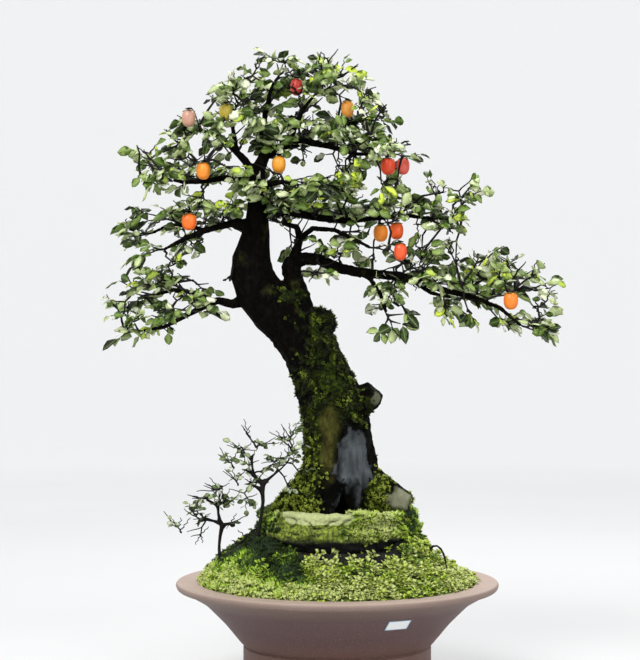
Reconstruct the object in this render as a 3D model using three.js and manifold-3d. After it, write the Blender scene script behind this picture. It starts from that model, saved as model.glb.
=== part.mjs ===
// A fruiting persimmon bonsai: an old leaning trunk on a mossy rock, in a round flared clay pot.
// Millimetres, +Z up. The origin is the centre of the pot's base, and -Y is the side that the tree faces.
import * as THREE from "three";
import { mergeVertices } from "three/addons/utils/BufferGeometryUtils.js";
import Module from "manifold-3d";

const wasm = await Module();
wasm.setup();

const { Vector3 } = THREE;
const UP = new Vector3(0, 0, 1);
const TURN = 2 * Math.PI;
const radians = THREE.MathUtils.degToRad;

// Driving dimensions
const GAP = 0.3; // left between pieces that rest on each other
const POT_HEIGHT = 150;
const RIM_RADIUS = 225;
const RIM_WIDTH = 32;
const DRUM_RADIUS = 131; // the pot's straight lower part
const DRUM_HEIGHT = 62;
const WALL = 12;
const MOUND_RISE = 50; // from the rim to the rock's foot
const ROCK_RADIUS = 106;
const ROCK_TOP = 243;
const LEAF_LENGTH = [23, 33];
const TWIG_LENGTH = 26;
const FRUIT_HEIGHT = 24;

const MATERIALS = {
  clay: new THREE.MeshStandardMaterial({ color: 0x8d7468, roughness: 0.62 }),
  soil: new THREE.MeshStandardMaterial({ color: 0x3a2c20, roughness: 0.95 }),
  screen: new THREE.MeshStandardMaterial({ color: 0x1d1f1d, roughness: 0.6 }),
  carpet: new THREE.MeshStandardMaterial({ color: 0x86a83c, roughness: 0.85 }),
  rock: new THREE.MeshStandardMaterial({ color: 0x8b9152, roughness: 0.9 }),
  bark: new THREE.MeshStandardMaterial({ color: 0x2b2823, roughness: 0.85 }),
  leaf: new THREE.MeshStandardMaterial({ color: 0x47682f, roughness: 0.45 }),
  sapling: new THREE.MeshStandardMaterial({ color: 0x3f4a30, roughness: 0.6 }),
  fruit: new THREE.MeshStandardMaterial({ color: 0xf27a1c, roughness: 0.35 }),
  label: new THREE.MeshStandardMaterial({ color: 0xeef4f6, roughness: 0.5 }),
};

// Seeded draws, so that every build gives the same tree
function draws(seed) {
  let state = seed >>> 0;
  return (low = 0, high = 1) => {
    state = (Math.imul(state, 1664525) + 1013904223) >>> 0;
    return low + ((high - low) * state) / 4294967296;
  };
}

// A small bump that repeats nowhere near: sums of sines stand in for noise
function rough(x, y, z) {
  return (
    Math.sin(0.11 * x + 0.7 * Math.sin(0.05 * z)) * Math.cos(0.13 * y + 1.3) +
    0.6 * Math.sin(0.19 * z + 0.09 * x + 2.1) +
    0.4 * Math.cos(0.29 * y - 0.23 * x + 0.17 * z)
  );
}

// Solids

function solid(geometry) {
  const bare = geometry.clone();
  bare.deleteAttribute("normal");
  bare.deleteAttribute("uv");
  const merged = mergeVertices(bare, 1e-3);
  return new wasm.Manifold(
    new wasm.Mesh({
      numProp: 3,
      vertProperties: new Float32Array(merged.attributes.position.array),
      triVerts: new Uint32Array(merged.index.array),
    }),
  );
}

function facets(positions, triangles) {
  const geometry = new THREE.BufferGeometry();
  geometry.setAttribute("position", new THREE.Float32BufferAttribute(positions, 3));
  geometry.setIndex(triangles);
  return solid(geometry);
}

function geometryOf(body) {
  const mesh = body.getMesh();
  const positions = [];
  for (let i = 0; i < mesh.numVert; i++) {
    const at = i * mesh.numProp;
    positions.push(...mesh.vertProperties.subarray(at, at + 3));
  }
  const geometry = new THREE.BufferGeometry();
  geometry.setAttribute("position", new THREE.Float32BufferAttribute(positions, 3));
  geometry.setIndex([...mesh.triVerts]);
  geometry.computeVertexNormals();
  return geometry;
}

function largestBody(body) {
  const bodies = body.decompose();
  return bodies.reduce((best, b) => (b.volume() > best.volume() ? b : best));
}

const union = (bodies) => bodies.reduce((sum, b) => sum.add(b));

// Turns a profile of [radius, z] points round Z
function turned(profile, segments, reshape = (p) => p) {
  const points = profile.map(([r, z]) => new THREE.Vector2(r, z));
  const lathe = new THREE.LatheGeometry(points, segments);
  lathe.rotateX(Math.PI / 2);
  const position = lathe.attributes.position;
  const p = new Vector3();
  for (let i = 0; i < position.count; i++) {
    p.fromBufferAttribute(position, i);
    if (Math.hypot(p.x, p.y) > 1e-3) reshape(p);
    position.setXYZ(i, p.x, p.y, p.z);
  }
  return solid(lathe);
}

// The path through [x, y, z, radius] stations, drawn again as `count` stations on a smooth curve
function smooth(stations, count) {
  const curve = new THREE.CatmullRomCurve3(
    stations.map(([x, y, z]) => new Vector3(x, y, z)),
  );
  return Array.from({ length: count }, (_, i) => {
    const t = i / (count - 1);
    const at = t * (stations.length - 1);
    const k = Math.min(Math.floor(at), stations.length - 2);
    const radius = THREE.MathUtils.lerp(stations[k][3], stations[k + 1][3], at - k);
    return [...curve.getPoint(t).toArray(), radius];
  });
}

// A closed tube through [x, y, z, radius] stations
function tube(stations, sides, { clearance = 0, shape = (r) => r } = {}) {
  const centres = stations.map(([x, y, z]) => new Vector3(x, y, z));
  const tangents = centres.map((_, i) => {
    const before = centres[Math.max(i - 1, 0)];
    const after = centres[Math.min(i + 1, centres.length - 1)];
    return after.clone().sub(before).normalize();
  });
  const across = Math.abs(tangents[0].x) > 0.9 ? new Vector3(0, 1, 0) : new Vector3(1, 0, 0);
  const positions = [];
  const triangles = [];
  centres.forEach((centre, i) => {
    across.addScaledVector(tangents[i], -across.dot(tangents[i])).normalize();
    const beside = tangents[i].clone().cross(across);
    for (let k = 0; k < sides; k++) {
      const angle = (TURN * k) / sides;
      const radius = shape(stations[i][3], angle, centre) + clearance;
      const p = centre
        .clone()
        .addScaledVector(across, radius * Math.cos(angle))
        .addScaledVector(beside, radius * Math.sin(angle));
      positions.push(p.x, p.y, p.z);
    }
  });
  const last = (stations.length - 1) * sides;
  const tip = positions.length / 3;
  positions.push(...centres.at(-1).toArray());
  const foot = tip + 1;
  positions.push(...centres[0].toArray());
  for (let k = 0; k < sides; k++) {
    const next = (k + 1) % sides;
    for (let low = 0; low < last; low += sides) {
      const high = low + sides;
      triangles.push(low + k, low + next, high + next, low + k, high + next, high + k);
    }
    triangles.push(foot, next, k, last + k, last + next, tip);
  }
  return facets(positions, triangles);
}

// Branching bodies are laid out by hand from rings of four: right, top, left, under.
// strip() joins two rings, so twigs grow out of stems with no cut or seam.
function weaving() {
  const positions = [];
  const triangles = [];
  const vertex = (p) => positions.push(p.x, p.y, p.z) / 3 - 1;
  const fanned = (centre, loop) => {
    for (let k = 0; k + 1 < loop.length; k++) triangles.push(centre, loop[k], loop[k + 1]);
  };
  const strip = (from, to) => {
    for (let k = 0; k < 4; k++) {
      const next = (k + 1) % 4;
      triangles.push(from[k], to[next], from[next], from[k], to[k], to[next]);
    }
  };
  const ring = ({ centre, across, normal }, radius) =>
    [
      centre.clone().addScaledVector(across, -radius),
      centre.clone().addScaledVector(normal, radius),
      centre.clone().addScaledVector(across, radius),
      centre.clone().addScaledVector(normal, -radius),
    ].map(vertex);
  const startCap = (r) => fanned(r[0], [r[1], r[2], r[3]]);
  const tipCap = (r, tip) => fanned(vertex(tip), [r[0], r[3], r[2], r[1], r[0]]);
  return { vertex, fanned, strip, ring, startCap, tipCap, body: () => facets(positions, triangles) };
}

function frameOf(centre, ahead, face) {
  const across = face.clone().cross(ahead).normalize();
  return { centre, ahead, across, normal: ahead.clone().cross(across).normalize() };
}

// Leaf blades that fan out from a hub. Each is a kite, like the species' rhombic leaf.
// Returns the hub's ring, for a twig to join.
const LEAF_SHOULDER = 0.58; // how far along its length a leaf is widest
const LEAFY = { thick: 1.7, twig: 1.1, axil: 2.4 };

function leafFan(weave, { hub, ahead, face, leaves, thick, axil }) {
  const { across, normal } = frameOf(hub, ahead, face);
  const at = (u, v, w) =>
    weave.vertex(
      hub
        .clone()
        .addScaledVector(ahead, u)
        .addScaledVector(across, v)
        .addScaledVector(normal, w),
    );
  const polar = (reach, angle, lift = 0) =>
    at(reach * Math.cos(angle), reach * Math.sin(angle), lift);
  const outline = [at(-axil / 2, -axil * 0.7, 0)];
  leaves.forEach(({ angle, length, width, droop, roll }, i) => {
    const shoulder = LEAF_SHOULDER * length;
    const spread = Math.atan2(width / 2, shoulder);
    const reach = Math.hypot(shoulder, width / 2);
    const low = -droop * length * 0.35;
    if (i) outline.push(polar(axil, (angle + leaves[i - 1].angle) / 2));
    outline.push(polar(reach, angle - spread, low + roll * width));
    outline.push(polar(length, angle, -droop * length));
    outline.push(polar(reach, angle + spread, low - roll * width));
  });
  outline.push(at(-axil / 2, axil * 0.7, 0));
  const top = at(0, 0, thick / 2);
  const under = at(0, 0, -thick / 2);
  weave.fanned(top, outline);
  weave.fanned(under, [...outline].reverse());
  return [outline[0], top, outline.at(-1), under];
}

// One twig with its fan of leaves
function cluster(one) {
  const weave = weaving();
  const ahead = one.hub.clone().sub(one.root).normalize();
  const foot = weave.ring(frameOf(one.root, ahead, one.face), one.twig);
  weave.startCap(foot);
  weave.strip(foot, leafFan(weave, { ...one, ahead }));
  return weave.body();
}

function boxesMeet(a, b, margin) {
  return [0, 1, 2].every((i) => a.min[i] - margin < b.max[i] && b.min[i] - margin < a.max[i]);
}

// True where a body would come closer than the gap to any of the others
function crowded(body, others, gap = GAP) {
  const box = body.boundingBox();
  return others.some(
    (o) => boxesMeet(box, (o.box ??= o.body.boundingBox()), gap) && body.minGap(o.body, 1) < gap,
  );
}

// Pot

const FLARE_FOOT = [158, 95];
const FLARE_TOP = [185, 122];
const potOutside = [
  [DRUM_RADIUS - 3, 0],
  [DRUM_RADIUS, 4],
  [DRUM_RADIUS, DRUM_HEIGHT - 2],
  [DRUM_RADIUS - 3, DRUM_HEIGHT],
  [DRUM_RADIUS + 4, DRUM_HEIGHT + 5],
  FLARE_FOOT,
  FLARE_TOP,
  [209, 136],
  [RIM_RADIUS - 2, POT_HEIGHT - 9],
  [RIM_RADIUS, POT_HEIGHT - 3],
  [RIM_RADIUS - 2, POT_HEIGHT],
];
const potInside = [
  [RIM_RADIUS - RIM_WIDTH, POT_HEIGHT],
  [RIM_RADIUS - RIM_WIDTH - 4, POT_HEIGHT - 7],
  [156, 112],
  [DRUM_RADIUS - WALL + 2, DRUM_HEIGHT + 8],
  [DRUM_RADIUS - WALL, WALL],
];
const POT_SEGMENTS = 30;
const LABEL_ANGLE = -63.7; // degrees from +X
const FACET_ANGLE = -60; // the middle of a facet, before the pot is turned to the label
const DRAINS = 3;
const DRAIN_RADIUS = 9;
const DRAIN_CIRCLE = 58;
const DRAIN_SIDES = 10;
const drainAngle = (k) => TURN * (k / DRAINS + 0.25);

function potBody() {
  const profile = [[0, 0], ...potOutside, ...potInside, [0, WALL]];
  let body = turned(profile, POT_SEGMENTS).rotate([0, 0, LABEL_ANGLE - FACET_ANGLE]);
  for (let k = 0; k < DRAINS; k++) {
    const hole = new THREE.CylinderGeometry(DRAIN_RADIUS, DRAIN_RADIUS, 4 * WALL, DRAIN_SIDES);
    hole.rotateX(Math.PI / 2);
    hole.translate(
      DRAIN_CIRCLE * Math.cos(drainAngle(k)),
      DRAIN_CIRCLE * Math.sin(drainAngle(k)),
      0,
    );
    body = body.subtract(solid(hole));
  }
  return body;
}

// A plastic grid over the drain holes keeps the soil in
const SCREEN_RADIUS = 82;
const SCREEN_THICK = 1.6;
const SCREEN_SIDES = 16;
const SLOT = { length: 14, width: 3, offset: 4 };

function screenBody() {
  const base = WALL + GAP;
  const profile = [
    [0, base],
    [SCREEN_RADIUS, base],
    [SCREEN_RADIUS, base + SCREEN_THICK],
    [0, base + SCREEN_THICK],
  ];
  let body = turned(profile, SCREEN_SIDES);
  for (let k = 0; k < DRAINS; k++) {
    for (const side of [-1, 1]) {
      const slot = new THREE.BoxGeometry(SLOT.length, SLOT.width, WALL);
      slot.translate(DRAIN_CIRCLE, side * SLOT.offset, base);
      slot.rotateZ(drainAngle(k));
      body = body.subtract(solid(slot));
    }
  }
  return body;
}

// Planting: soil, its living carpet, and the rock that the tree sits on

const CARPET_THICK = 6;
const MOUND_TOP_RADIUS = 108;
const MOUND_FOOT_RADIUS = RIM_RADIUS - RIM_WIDTH - 4;
const LEFT_BULGE = 14;

// The carpet's surface, higher on the left, where the saplings grow
function moundHeight(x, y) {
  const r = Math.hypot(x, y);
  const share = THREE.MathUtils.clamp(
    (r - MOUND_TOP_RADIUS) / (MOUND_FOOT_RADIUS - MOUND_TOP_RADIUS),
    0,
    1,
  );
  const left = Math.max(0, -x / Math.max(r, 1));
  const bulge = LEFT_BULGE * left * Math.sin(Math.PI * share);
  return POT_HEIGHT + MOUND_RISE * (1 - share) ** 0.9 + bulge;
}

const ROCK_FOOT = POT_HEIGHT + MOUND_RISE - 2;
const ROCK_SEAT_RADIUS = 84;

const carpetUnderside = [
  [92, moundHeight(92, 0) - CARPET_THICK],
  [146, moundHeight(146, 0) - CARPET_THICK],
  [MOUND_FOOT_RADIUS, POT_HEIGHT - 2],
];

// The soil has fewer facets than what is round it, so it lies a little further in
const SOIL_INSET = 1.4;
const SOIL_DROP = 0.75;
const SOIL_SEGMENTS = 24;

function soilBody(trunk) {
  const walls = potInside
    .slice(1)
    .reverse()
    .map(([r, z]) => [r - SOIL_INSET, z]);
  walls[0] = [walls[0][0], WALL + SCREEN_THICK + 3 * GAP];
  const under = carpetUnderside.map(([r, z]) => [r, z - SOIL_DROP]).reverse();
  const seat = ROCK_FOOT - GAP;
  const profile = [[0, walls[0][1]], ...walls, ...under, [ROCK_SEAT_RADIUS, seat], [0, seat]];
  return turned(profile, SOIL_SEGMENTS).subtract(trunk);
}

const CARPET_HOLE = carpetUnderside[0][0];
const RIPPLE = 2.2;
const EDGE_RIPPLE = 0.6;
const SHOOTS = 26;
const SHOOT_RADII = [122, 180];
const SHOOT_LEAF = [14, 19];
const SHOOT_HEIGHT = [8, 11];
const SHOOT_DEPTH = 4;
const GOLDEN_ANGLE = TURN * 0.381966;

// Ground cover, drawn larger than life: a rippled skin with leafy shoots that stand out of it
function carpetBody(cut) {
  const radii = [CARPET_HOLE, 113, 132, 154, 176, MOUND_FOOT_RADIUS];
  const top = radii.map((r) => [r, moundHeight(r, 0)]).reverse();
  const profile = [...carpetUnderside, ...top, carpetUnderside[0]];
  let carpet = turned(profile, POT_SEGMENTS, (p) => {
    const r = Math.hypot(p.x, p.y);
    const onTop = p.z > moundHeight(r, 0) - 1;
    if (!onTop || r < CARPET_HOLE + 1) return;
    const ripple = r > MOUND_FOOT_RADIUS - 1 ? EDGE_RIPPLE : RIPPLE;
    p.z = moundHeight(p.x, p.y) + ripple * rough(5 * p.x, 5 * p.y, r);
  });
  const draw = draws(41);
  const [inner, outer] = SHOOT_RADII;
  for (let k = 0; k < SHOOTS; k++) {
    const r = Math.sqrt(THREE.MathUtils.lerp(inner ** 2, outer ** 2, (k + 0.5) / SHOOTS));
    const x = r * Math.cos(k * GOLDEN_ANGLE);
    const y = r * Math.sin(k * GOLDEN_ANGLE);
    const root = new Vector3(x, y, moundHeight(x, y) - SHOOT_DEPTH);
    const lean = new Vector3(x / r + draw(-0.6, 0.6), y / r + draw(-0.6, 0.6), 1).normalize();
    const hub = root.clone().addScaledVector(lean, draw(...SHOOT_HEIGHT));
    const face = lean.clone().cross(new Vector3(draw(-1, 1), draw(-1, 1), 0));
    carpet = carpet.add(cluster({ ...LEAFY, root, hub, face, leaves: fan(4, SHOOT_LEAF, draw) }));
  }
  return largestBody(carpet.subtract(cut));
}

const ROCK_SEGMENTS = 24;

// A layered slab with a raised front lip and an undercut
function rockBody(trunk, clearance = 0) {
  const c = clearance;
  const backDrop = 5;
  const profile = [
    [0, ROCK_FOOT - c],
    [ROCK_RADIUS - 18 + c, ROCK_FOOT - c],
    [ROCK_RADIUS - 10 + c, ROCK_FOOT + 10],
    [ROCK_RADIUS + 2 + c, ROCK_FOOT + 16],
    [ROCK_RADIUS + 5 + c, ROCK_TOP - 18],
    [ROCK_RADIUS - 3 + c, ROCK_TOP - 12],
    [ROCK_RADIUS + 1 + c, ROCK_TOP + 3 + c],
    [ROCK_RADIUS - 8 + c, ROCK_TOP + 7 + c],
    [ROCK_RADIUS - 24, ROCK_TOP - GAP + c],
    [0, ROCK_TOP - GAP + c],
  ];
  const body = turned(profile, ROCK_SEGMENTS, (p) => {
    const r = Math.hypot(p.x, p.y);
    if (r < ROCK_RADIUS - 20 || p.z <= ROCK_FOOT - c) return;
    const angle = Math.atan2(p.y, p.x);
    const wander = 1 + 0.04 * Math.sin(3 * angle + 0.6) + 0.022 * Math.sin(7 * angle + 2 + p.z / 9);
    p.x *= wander * 1.01;
    p.y *= wander * 0.95;
    if (p.z > ROCK_TOP - 2) p.z += 1.6 * Math.sin(5 * angle + 1) - backDrop * Math.max(0, p.y / r);
  });
  return trunk ? body.subtract(trunk) : body;
}

// Tree

// The main trunk leans left above its flared foot, then stands up into the leader
const TRUNK = [
  [-2, 0, 243, 64],
  [-2, 0, 264, 59],
  [1, 2, 288, 54],
  [1, 3, 318, 49],
  [-1, 2, 350, 46],
  [-3, 0, 380, 45.5],
  [-10, -2, 404, 45],
  [-18, -4, 426, 42],
  [-26, -6, 449, 39.5],
  [-38, -8, 474, 39],
  [-55, -9, 499, 39],
  [-80, -9, 524, 37.5],
  [-105, -8, 545, 34.5],
  [-118, -7, 570, 31],
  [-121, -6, 594, 27.5],
  [-117, -6, 616, 22.5],
  [-112, -7, 641, 17.5],
  [-111, -8, 672, 14],
  [-111, -9, 705, 11],
  [-110, -10, 731, 9.5],
];
// How far each buttress stands out at the foot: [degrees from +X, reach, width in degrees]
const BUTTRESSES = [
  [8, 26, 22],
  [60, 12, 18],
  [100, 18, 20],
  [140, 12, 18],
  [188, 26, 22],
  [232, 13, 18],
  [318, 14, 18],
];
const BUTTRESS_HEIGHT = 34;

function trunkShape(radius, angle, centre) {
  const height = Math.max(0, centre.z - ROCK_TOP);
  const foot = Math.exp(-height / BUTTRESS_HEIGHT);
  const lobes = BUTTRESSES.reduce((sum, [degrees, reach, width]) => {
    const away = Math.atan2(
      Math.sin(angle - radians(degrees)),
      Math.cos(angle - radians(degrees)),
    );
    return sum + reach * Math.exp(-((away / radians(width)) ** 2));
  }, 0);
  const flutes = 0.05 * Math.sin(3 * angle + centre.z / 40) + 0.03 * Math.sin(5 * angle + 1);
  return radius * (1 + flutes) + foot * (lobes - 10);
}

// Every limb as [x, y, z, radius] stations, from inside the wood that bears it
const LIMBS = {
  taproot: [
    [0, 0, 262, 46],
    [0, 0, 225, 44],
    [0, 0, 160, 26],
    [0, 0, 120, 10],
  ],
  left_root: [
    [-26, -8, 300, 22],
    [-55, -16, 272, 18],
    [-80, -22, 252, 12],
    [-92, -24, 243, 6],
  ],
  right_root: [
    [30, -6, 300, 26],
    [62, -14, 276, 22],
    [84, -20, 264, 19],
    [99, -25, 259, 15],
  ],
  front_root_left: [
    [-6, -34, 296, 11],
    [-10, -52, 274, 10],
    [-18, -66, 252, 8],
    [-24, -74, 241, 5],
  ],
  front_root_right: [
    [18, -34, 296, 12],
    [20, -54, 272, 10],
    [26, -66, 252, 8],
    [30, -74, 241, 5],
  ],
  back_root: [
    [-4, 34, 296, 18],
    [-16, 58, 268, 15],
    [-28, 76, 250, 9],
    [-34, 86, 242, 5],
  ],
  stump: [
    [4, 0, 384, 28],
    [27, -4, 396, 24],
    [43, -8, 407, 21],
    [52, -10, 417, 16],
  ],
  second_trunk: [
    [-50, -6, 530, 18],
    [-57, -8, 553, 16],
    [-62, -9, 572, 14],
    [-64, -9, 588, 13.5],
    [-62, -10, 600, 10],
  ],
  hook: [
    [-63, -9, 590, 8],
    [-56, -12, 612, 6.5],
    [-52, -16, 630, 5.4],
    [-56, -22, 643, 4.4],
    [-71, -28, 646, 3.2],
    [-76, -32, 660, 2.1],
  ],
  middle: [
    [-53, -17, 626, 4.6],
    [-34, -34, 640, 4],
    [-4, -50, 637, 3.4],
    [26, -62, 622, 2.7],
    [44, -68, 612, 2.1],
  ],
  long_right: [
    [-62, -9, 592, 10],
    [-45, -12, 600, 9],
    [-25, -16, 598, 8.4],
    [4, -23, 585, 7.8],
    [48, -30, 577, 7],
    [84, -34, 575, 6],
    [112, -36, 568, 5.2],
    [140, -36, 557, 4.5],
    [190, -38, 544, 3.6],
    [224, -40, 530, 3],
    [252, -42, 506, 2.1],
  ],
  hanging: [
    [36, -28, 580, 4.2],
    [54, -40, 560, 3.4],
    [63, -48, 538, 2.8],
    [66, -52, 524, 2.1],
  ],
  low_right: [
    [100, -35, 571, 4],
    [132, -10, 551, 3.2],
    [166, 8, 545, 2.1],
  ],
  right: [
    [-111, -8, 668, 8],
    [-74, -10, 666, 6.2],
    [-30, -4, 657, 5.4],
    [14, 8, 653, 4.7],
    [60, 16, 658, 3.9],
    [102, 22, 661, 3],
    [134, 24, 657, 2.1],
  ],
  leader: [
    [-110, -10, 724, 9.5],
    [-99, -10, 746, 8.4],
    [-74, -8, 754, 7],
    [-46, -6, 763, 5.6],
    [-10, -8, 756, 4.2],
    [24, -22, 744, 3],
    [54, -34, 742, 2.1],
  ],
  apex: [
    [-99, -10, 744, 6.5],
    [-104, -6, 774, 4.8],
    [-100, -2, 804, 3.6],
    [-94, -4, 830, 2.8],
    [-88, -6, 846, 2.1],
  ],
  apex_right: [
    [-70, -8, 753, 5],
    [-60, -12, 780, 4.1],
    [-48, -15, 806, 3.1],
    [-32, -16, 826, 2.1],
  ],
  upper_right: [
    [-12, -7, 757, 4],
    [0, 8, 776, 3.3],
    [18, 20, 790, 2.7],
    [34, 28, 796, 2.1],
  ],
  upper_left: [
    [-111, -9, 706, 7.5],
    [-128, -12, 735, 5.6],
    [-148, -8, 756, 4.2],
    [-166, 2, 770, 3.1],
    [-180, 10, 778, 2.1],
  ],
  upper_left_top: [
    [-140, -10, 748, 4],
    [-144, -14, 772, 3.2],
    [-146, -17, 792, 2.6],
    [-142, -20, 806, 2.1],
  ],
  left_high: [
    [-111, -9, 696, 7.5],
    [-136, -16, 708, 5.6],
    [-160, -24, 710, 4.6],
    [-186, -32, 705, 3.6],
    [-210, -38, 703, 2.8],
    [-226, -40, 706, 2.1],
  ],
  left_middle: [
    [-113, -7, 646, 8.5],
    [-138, -14, 650, 6],
    [-160, -24, 644, 5],
    [-186, -36, 636, 4.2],
    [-212, -46, 624, 3.2],
    [-238, -52, 610, 2.1],
  ],
  left_middle_top: [
    [-184, -35, 637, 3.8],
    [-210, -18, 647, 3.2],
    [-236, -4, 646, 2.7],
    [-258, 6, 636, 2.1],
  ],
  left_low: [
    [-120, -7, 545, 11],
    [-146, -10, 536, 7],
    [-166, -14, 541, 5.6],
    [-184, -22, 533, 4.8],
    [-208, -30, 521, 4],
    [-236, -38, 505, 3],
    [-266, -44, 499, 2.1],
  ],
  left_low_top: [
    [-172, -16, 540, 4.4],
    [-200, 4, 552, 3.6],
    [-230, 18, 556, 2.8],
    [-256, 24, 550, 2.1],
  ],
  back_right: [
    [-112, -5, 650, 8],
    [-98, 30, 662, 5.4],
    [-70, 66, 668, 3.8],
    [-40, 92, 668, 2.8],
    [-14, 108, 664, 2.1],
  ],
  back_left: [
    [-115, -4, 618, 9],
    [-128, 34, 640, 5.4],
    [-152, 68, 652, 3.4],
    [-176, 90, 654, 2.1],
  ],
  back_top: [
    [-98, -8, 748, 6],
    [-88, 22, 772, 4.4],
    [-72, 52, 790, 3],
    [-56, 72, 796, 2.1],
  ],
  front: [
    [-111, -9, 690, 7.5],
    [-98, -40, 700, 5],
    [-74, -64, 702, 3.2],
    [-52, -78, 696, 2.1],
  ],
};
const ROOTS = /root|stump|trunk/;
const TRUNK_RINGS = 21;
const TRUNK_SIDES = 12;
const THICK_LIMB = 6;
const TAPROOT_END = 121;

// The healed bump right of the lean, and the dark gap between the front roots
const SHOULDER = { radius: 25, scale: [0.9, 0.8, 1], at: [-24, -8, 507] };
const HOLLOW = { radius: 26, scale: [1, 0.85, 1.25], at: [6, -62, 262] };

// All the wood that grew as one piece: trunk, roots, stump and limbs
function wood(clearance = 0) {
  const trunk = tube(smooth(TRUNK, TRUNK_RINGS), TRUNK_SIDES, { clearance, shape: trunkShape });
  const shoulder = new THREE.IcosahedronGeometry(SHOULDER.radius + clearance, 1);
  shoulder.scale(...SHOULDER.scale);
  shoulder.translate(...SHOULDER.at);
  const hollow = new THREE.IcosahedronGeometry(HOLLOW.radius - clearance, 1);
  hollow.scale(...HOLLOW.scale);
  hollow.translate(...HOLLOW.at);
  let body = trunk.add(solid(shoulder)).subtract(solid(hollow));
  for (const [name, stations] of Object.entries(LIMBS)) {
    const thick = stations[0][3] > THICK_LIMB;
    const sides = ROOTS.test(name) ? 8 : thick ? 6 : 5;
    body = body.add(tube(stations, sides, { clearance }));
  }
  return largestBody(body.trimByPlane([0, 0, 1], TAPROOT_END - 2 * clearance));
}

// Leafy sprays. A spray is one thin stem with side twigs and leaves, in one piece.

// The place and direction at a share of the way along a path
function along(stations, share) {
  const at = share * (stations.length - 1);
  const k = Math.min(Math.floor(at), stations.length - 2);
  const from = new Vector3(...stations[k]);
  const to = new Vector3(...stations[k + 1]);
  return {
    point: from.clone().lerp(to, at - k),
    heading: to.clone().sub(from).normalize(),
    radius: THREE.MathUtils.lerp(stations[k][3], stations[k + 1][3], at - k),
  };
}

const SPRAY_STEPS = 5;
const CROWN_AXIS = new Vector3(-40, 0, 0); // leaves turn their faces away from it

// Stations along a zigzag stem: [x, y, z, radius]
function sprayStem({ root, heading, radius, length, lift }, draw) {
  const beside = heading.clone().cross(UP).normalize();
  const stations = [[...root.toArray(), radius]];
  let at = root.clone();
  for (let i = 1; i <= SPRAY_STEPS; i++) {
    const step = heading
      .clone()
      .addScaledVector(beside, (i % 2 ? 1 : -1) * draw(0.1, 0.4))
      .addScaledVector(UP, lift - 0.08 * i + draw(-0.1, 0.1))
      .normalize();
    at = at.clone().addScaledVector(step, length / SPRAY_STEPS);
    stations.push([...at.toArray(), radius * (1 - (0.5 * i) / SPRAY_STEPS)]);
  }
  return stations;
}

// A frame at each station, with the left and right sides kept level
function framesOf(stations) {
  const centres = stations.map(([x, y, z]) => new Vector3(x, y, z));
  let face = UP.clone();
  return centres.map((centre, i) => {
    const from = centres[Math.max(i - 1, 0)];
    const to = centres[Math.min(i + 1, centres.length - 1)];
    const frame = frameOf(centre, to.clone().sub(from).normalize(), face);
    face = frame.normal;
    return { ...frame, radius: stations[i][3] };
  });
}

// Leaves turn their faces up and away from the middle of the crown
function faceAt(point, draw) {
  const outward = point.clone().sub(CROWN_AXIS).setZ(0).normalize();
  return UP.clone()
    .multiplyScalar(0.6)
    .addScaledVector(outward, 0.4)
    .add(new Vector3(draw(-0.5, 0.5), draw(-0.8, 0.3), draw(-0.1, 0.4)))
    .normalize();
}

const FAN = radians(66); // between neighbouring leaves of a cluster

function fan(count, [shortest, longest], draw) {
  return Array.from({ length: count }, (_, i) => {
    const length = draw(shortest, longest);
    return {
      angle: FAN * (i - (count - 1) / 2) + draw(-0.06, 0.06),
      length,
      width: length * draw(0.5, 0.6),
      droop: draw(-0.1, 0.3),
      roll: draw(-0.16, 0.16),
    };
  });
}

const MOST_ROLL = radians(50);

// Turns a fan's face back towards its stem's, so that the twig between them never wrings shut
function rolled(face, stemFace, ahead) {
  const from = stemFace.clone().addScaledVector(ahead, -stemFace.dot(ahead)).normalize();
  const to = face.clone().addScaledVector(ahead, -face.dot(ahead)).normalize();
  const angle = Math.atan2(from.clone().cross(to).dot(ahead), from.dot(to));
  return from.applyAxisAngle(ahead, THREE.MathUtils.clamp(angle, -MOST_ROLL, MOST_ROLL));
}

// A side twig at every joint of the stem, left and right in turn, and leaves at its end
function clustersOf(frames, { reach, leaf, leaves = 3, form = LEAFY }, draw) {
  const last = frames.length - 1;
  return frames.slice(1).map((frame, k) => {
    const station = k + 1;
    const left = k % 2 === 0;
    const ends = station === last;
    const out = frame.ahead
      .clone()
      .multiplyScalar(draw(0.2, 0.6))
      .addScaledVector(frame.across, (left ? 1 : -1) * draw(0.7, 1))
      .addScaledVector(UP, draw(-0.2, 0.6))
      .normalize();
    const length = reach * draw(0.8, 1.15) * (1.15 - (0.5 * station) / last);
    return {
      ...form,
      station,
      left,
      ends,
      root: ends ? frames[last - 1].centre : frame.centre,
      hub: ends ? frame.centre : frame.centre.clone().addScaledVector(out, length),
      face: rolled(faceAt(frame.centre, draw), frame.normal, ends ? frame.ahead : out),
      leaves: fan(leaves, leaf, draw),
    };
  });
}

const OWN_GAP = 0.1; // between the parts of one spray

// The clusters that keep clear of everything else. A crowded one is tried with fewer leaves.
function clearOf(frames, clusters, others) {
  const laid = [];
  const stem = { body: sprayBody(frames, []) };
  const stemBelow = { body: sprayBody(frames.slice(0, -1), []) };
  for (const one of clusters) {
    const options = [one.leaves, one.leaves.slice(0, 2), one.leaves.slice(-2), one.leaves.slice(1, 2)];
    for (const leaves of options) {
      const body = cluster({ ...one, leaves });
      const foliage = cluster({ ...one, leaves, root: one.root.clone().lerp(one.hub, 0.6) });
      if (crowded(foliage, [one.ends ? stemBelow : stem], OWN_GAP)) continue;
      if (crowded(body, others) || crowded(body, laid, OWN_GAP)) continue;
      laid.push({ ...one, leaves, body });
      break;
    }
  }
  return laid;
}

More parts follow.
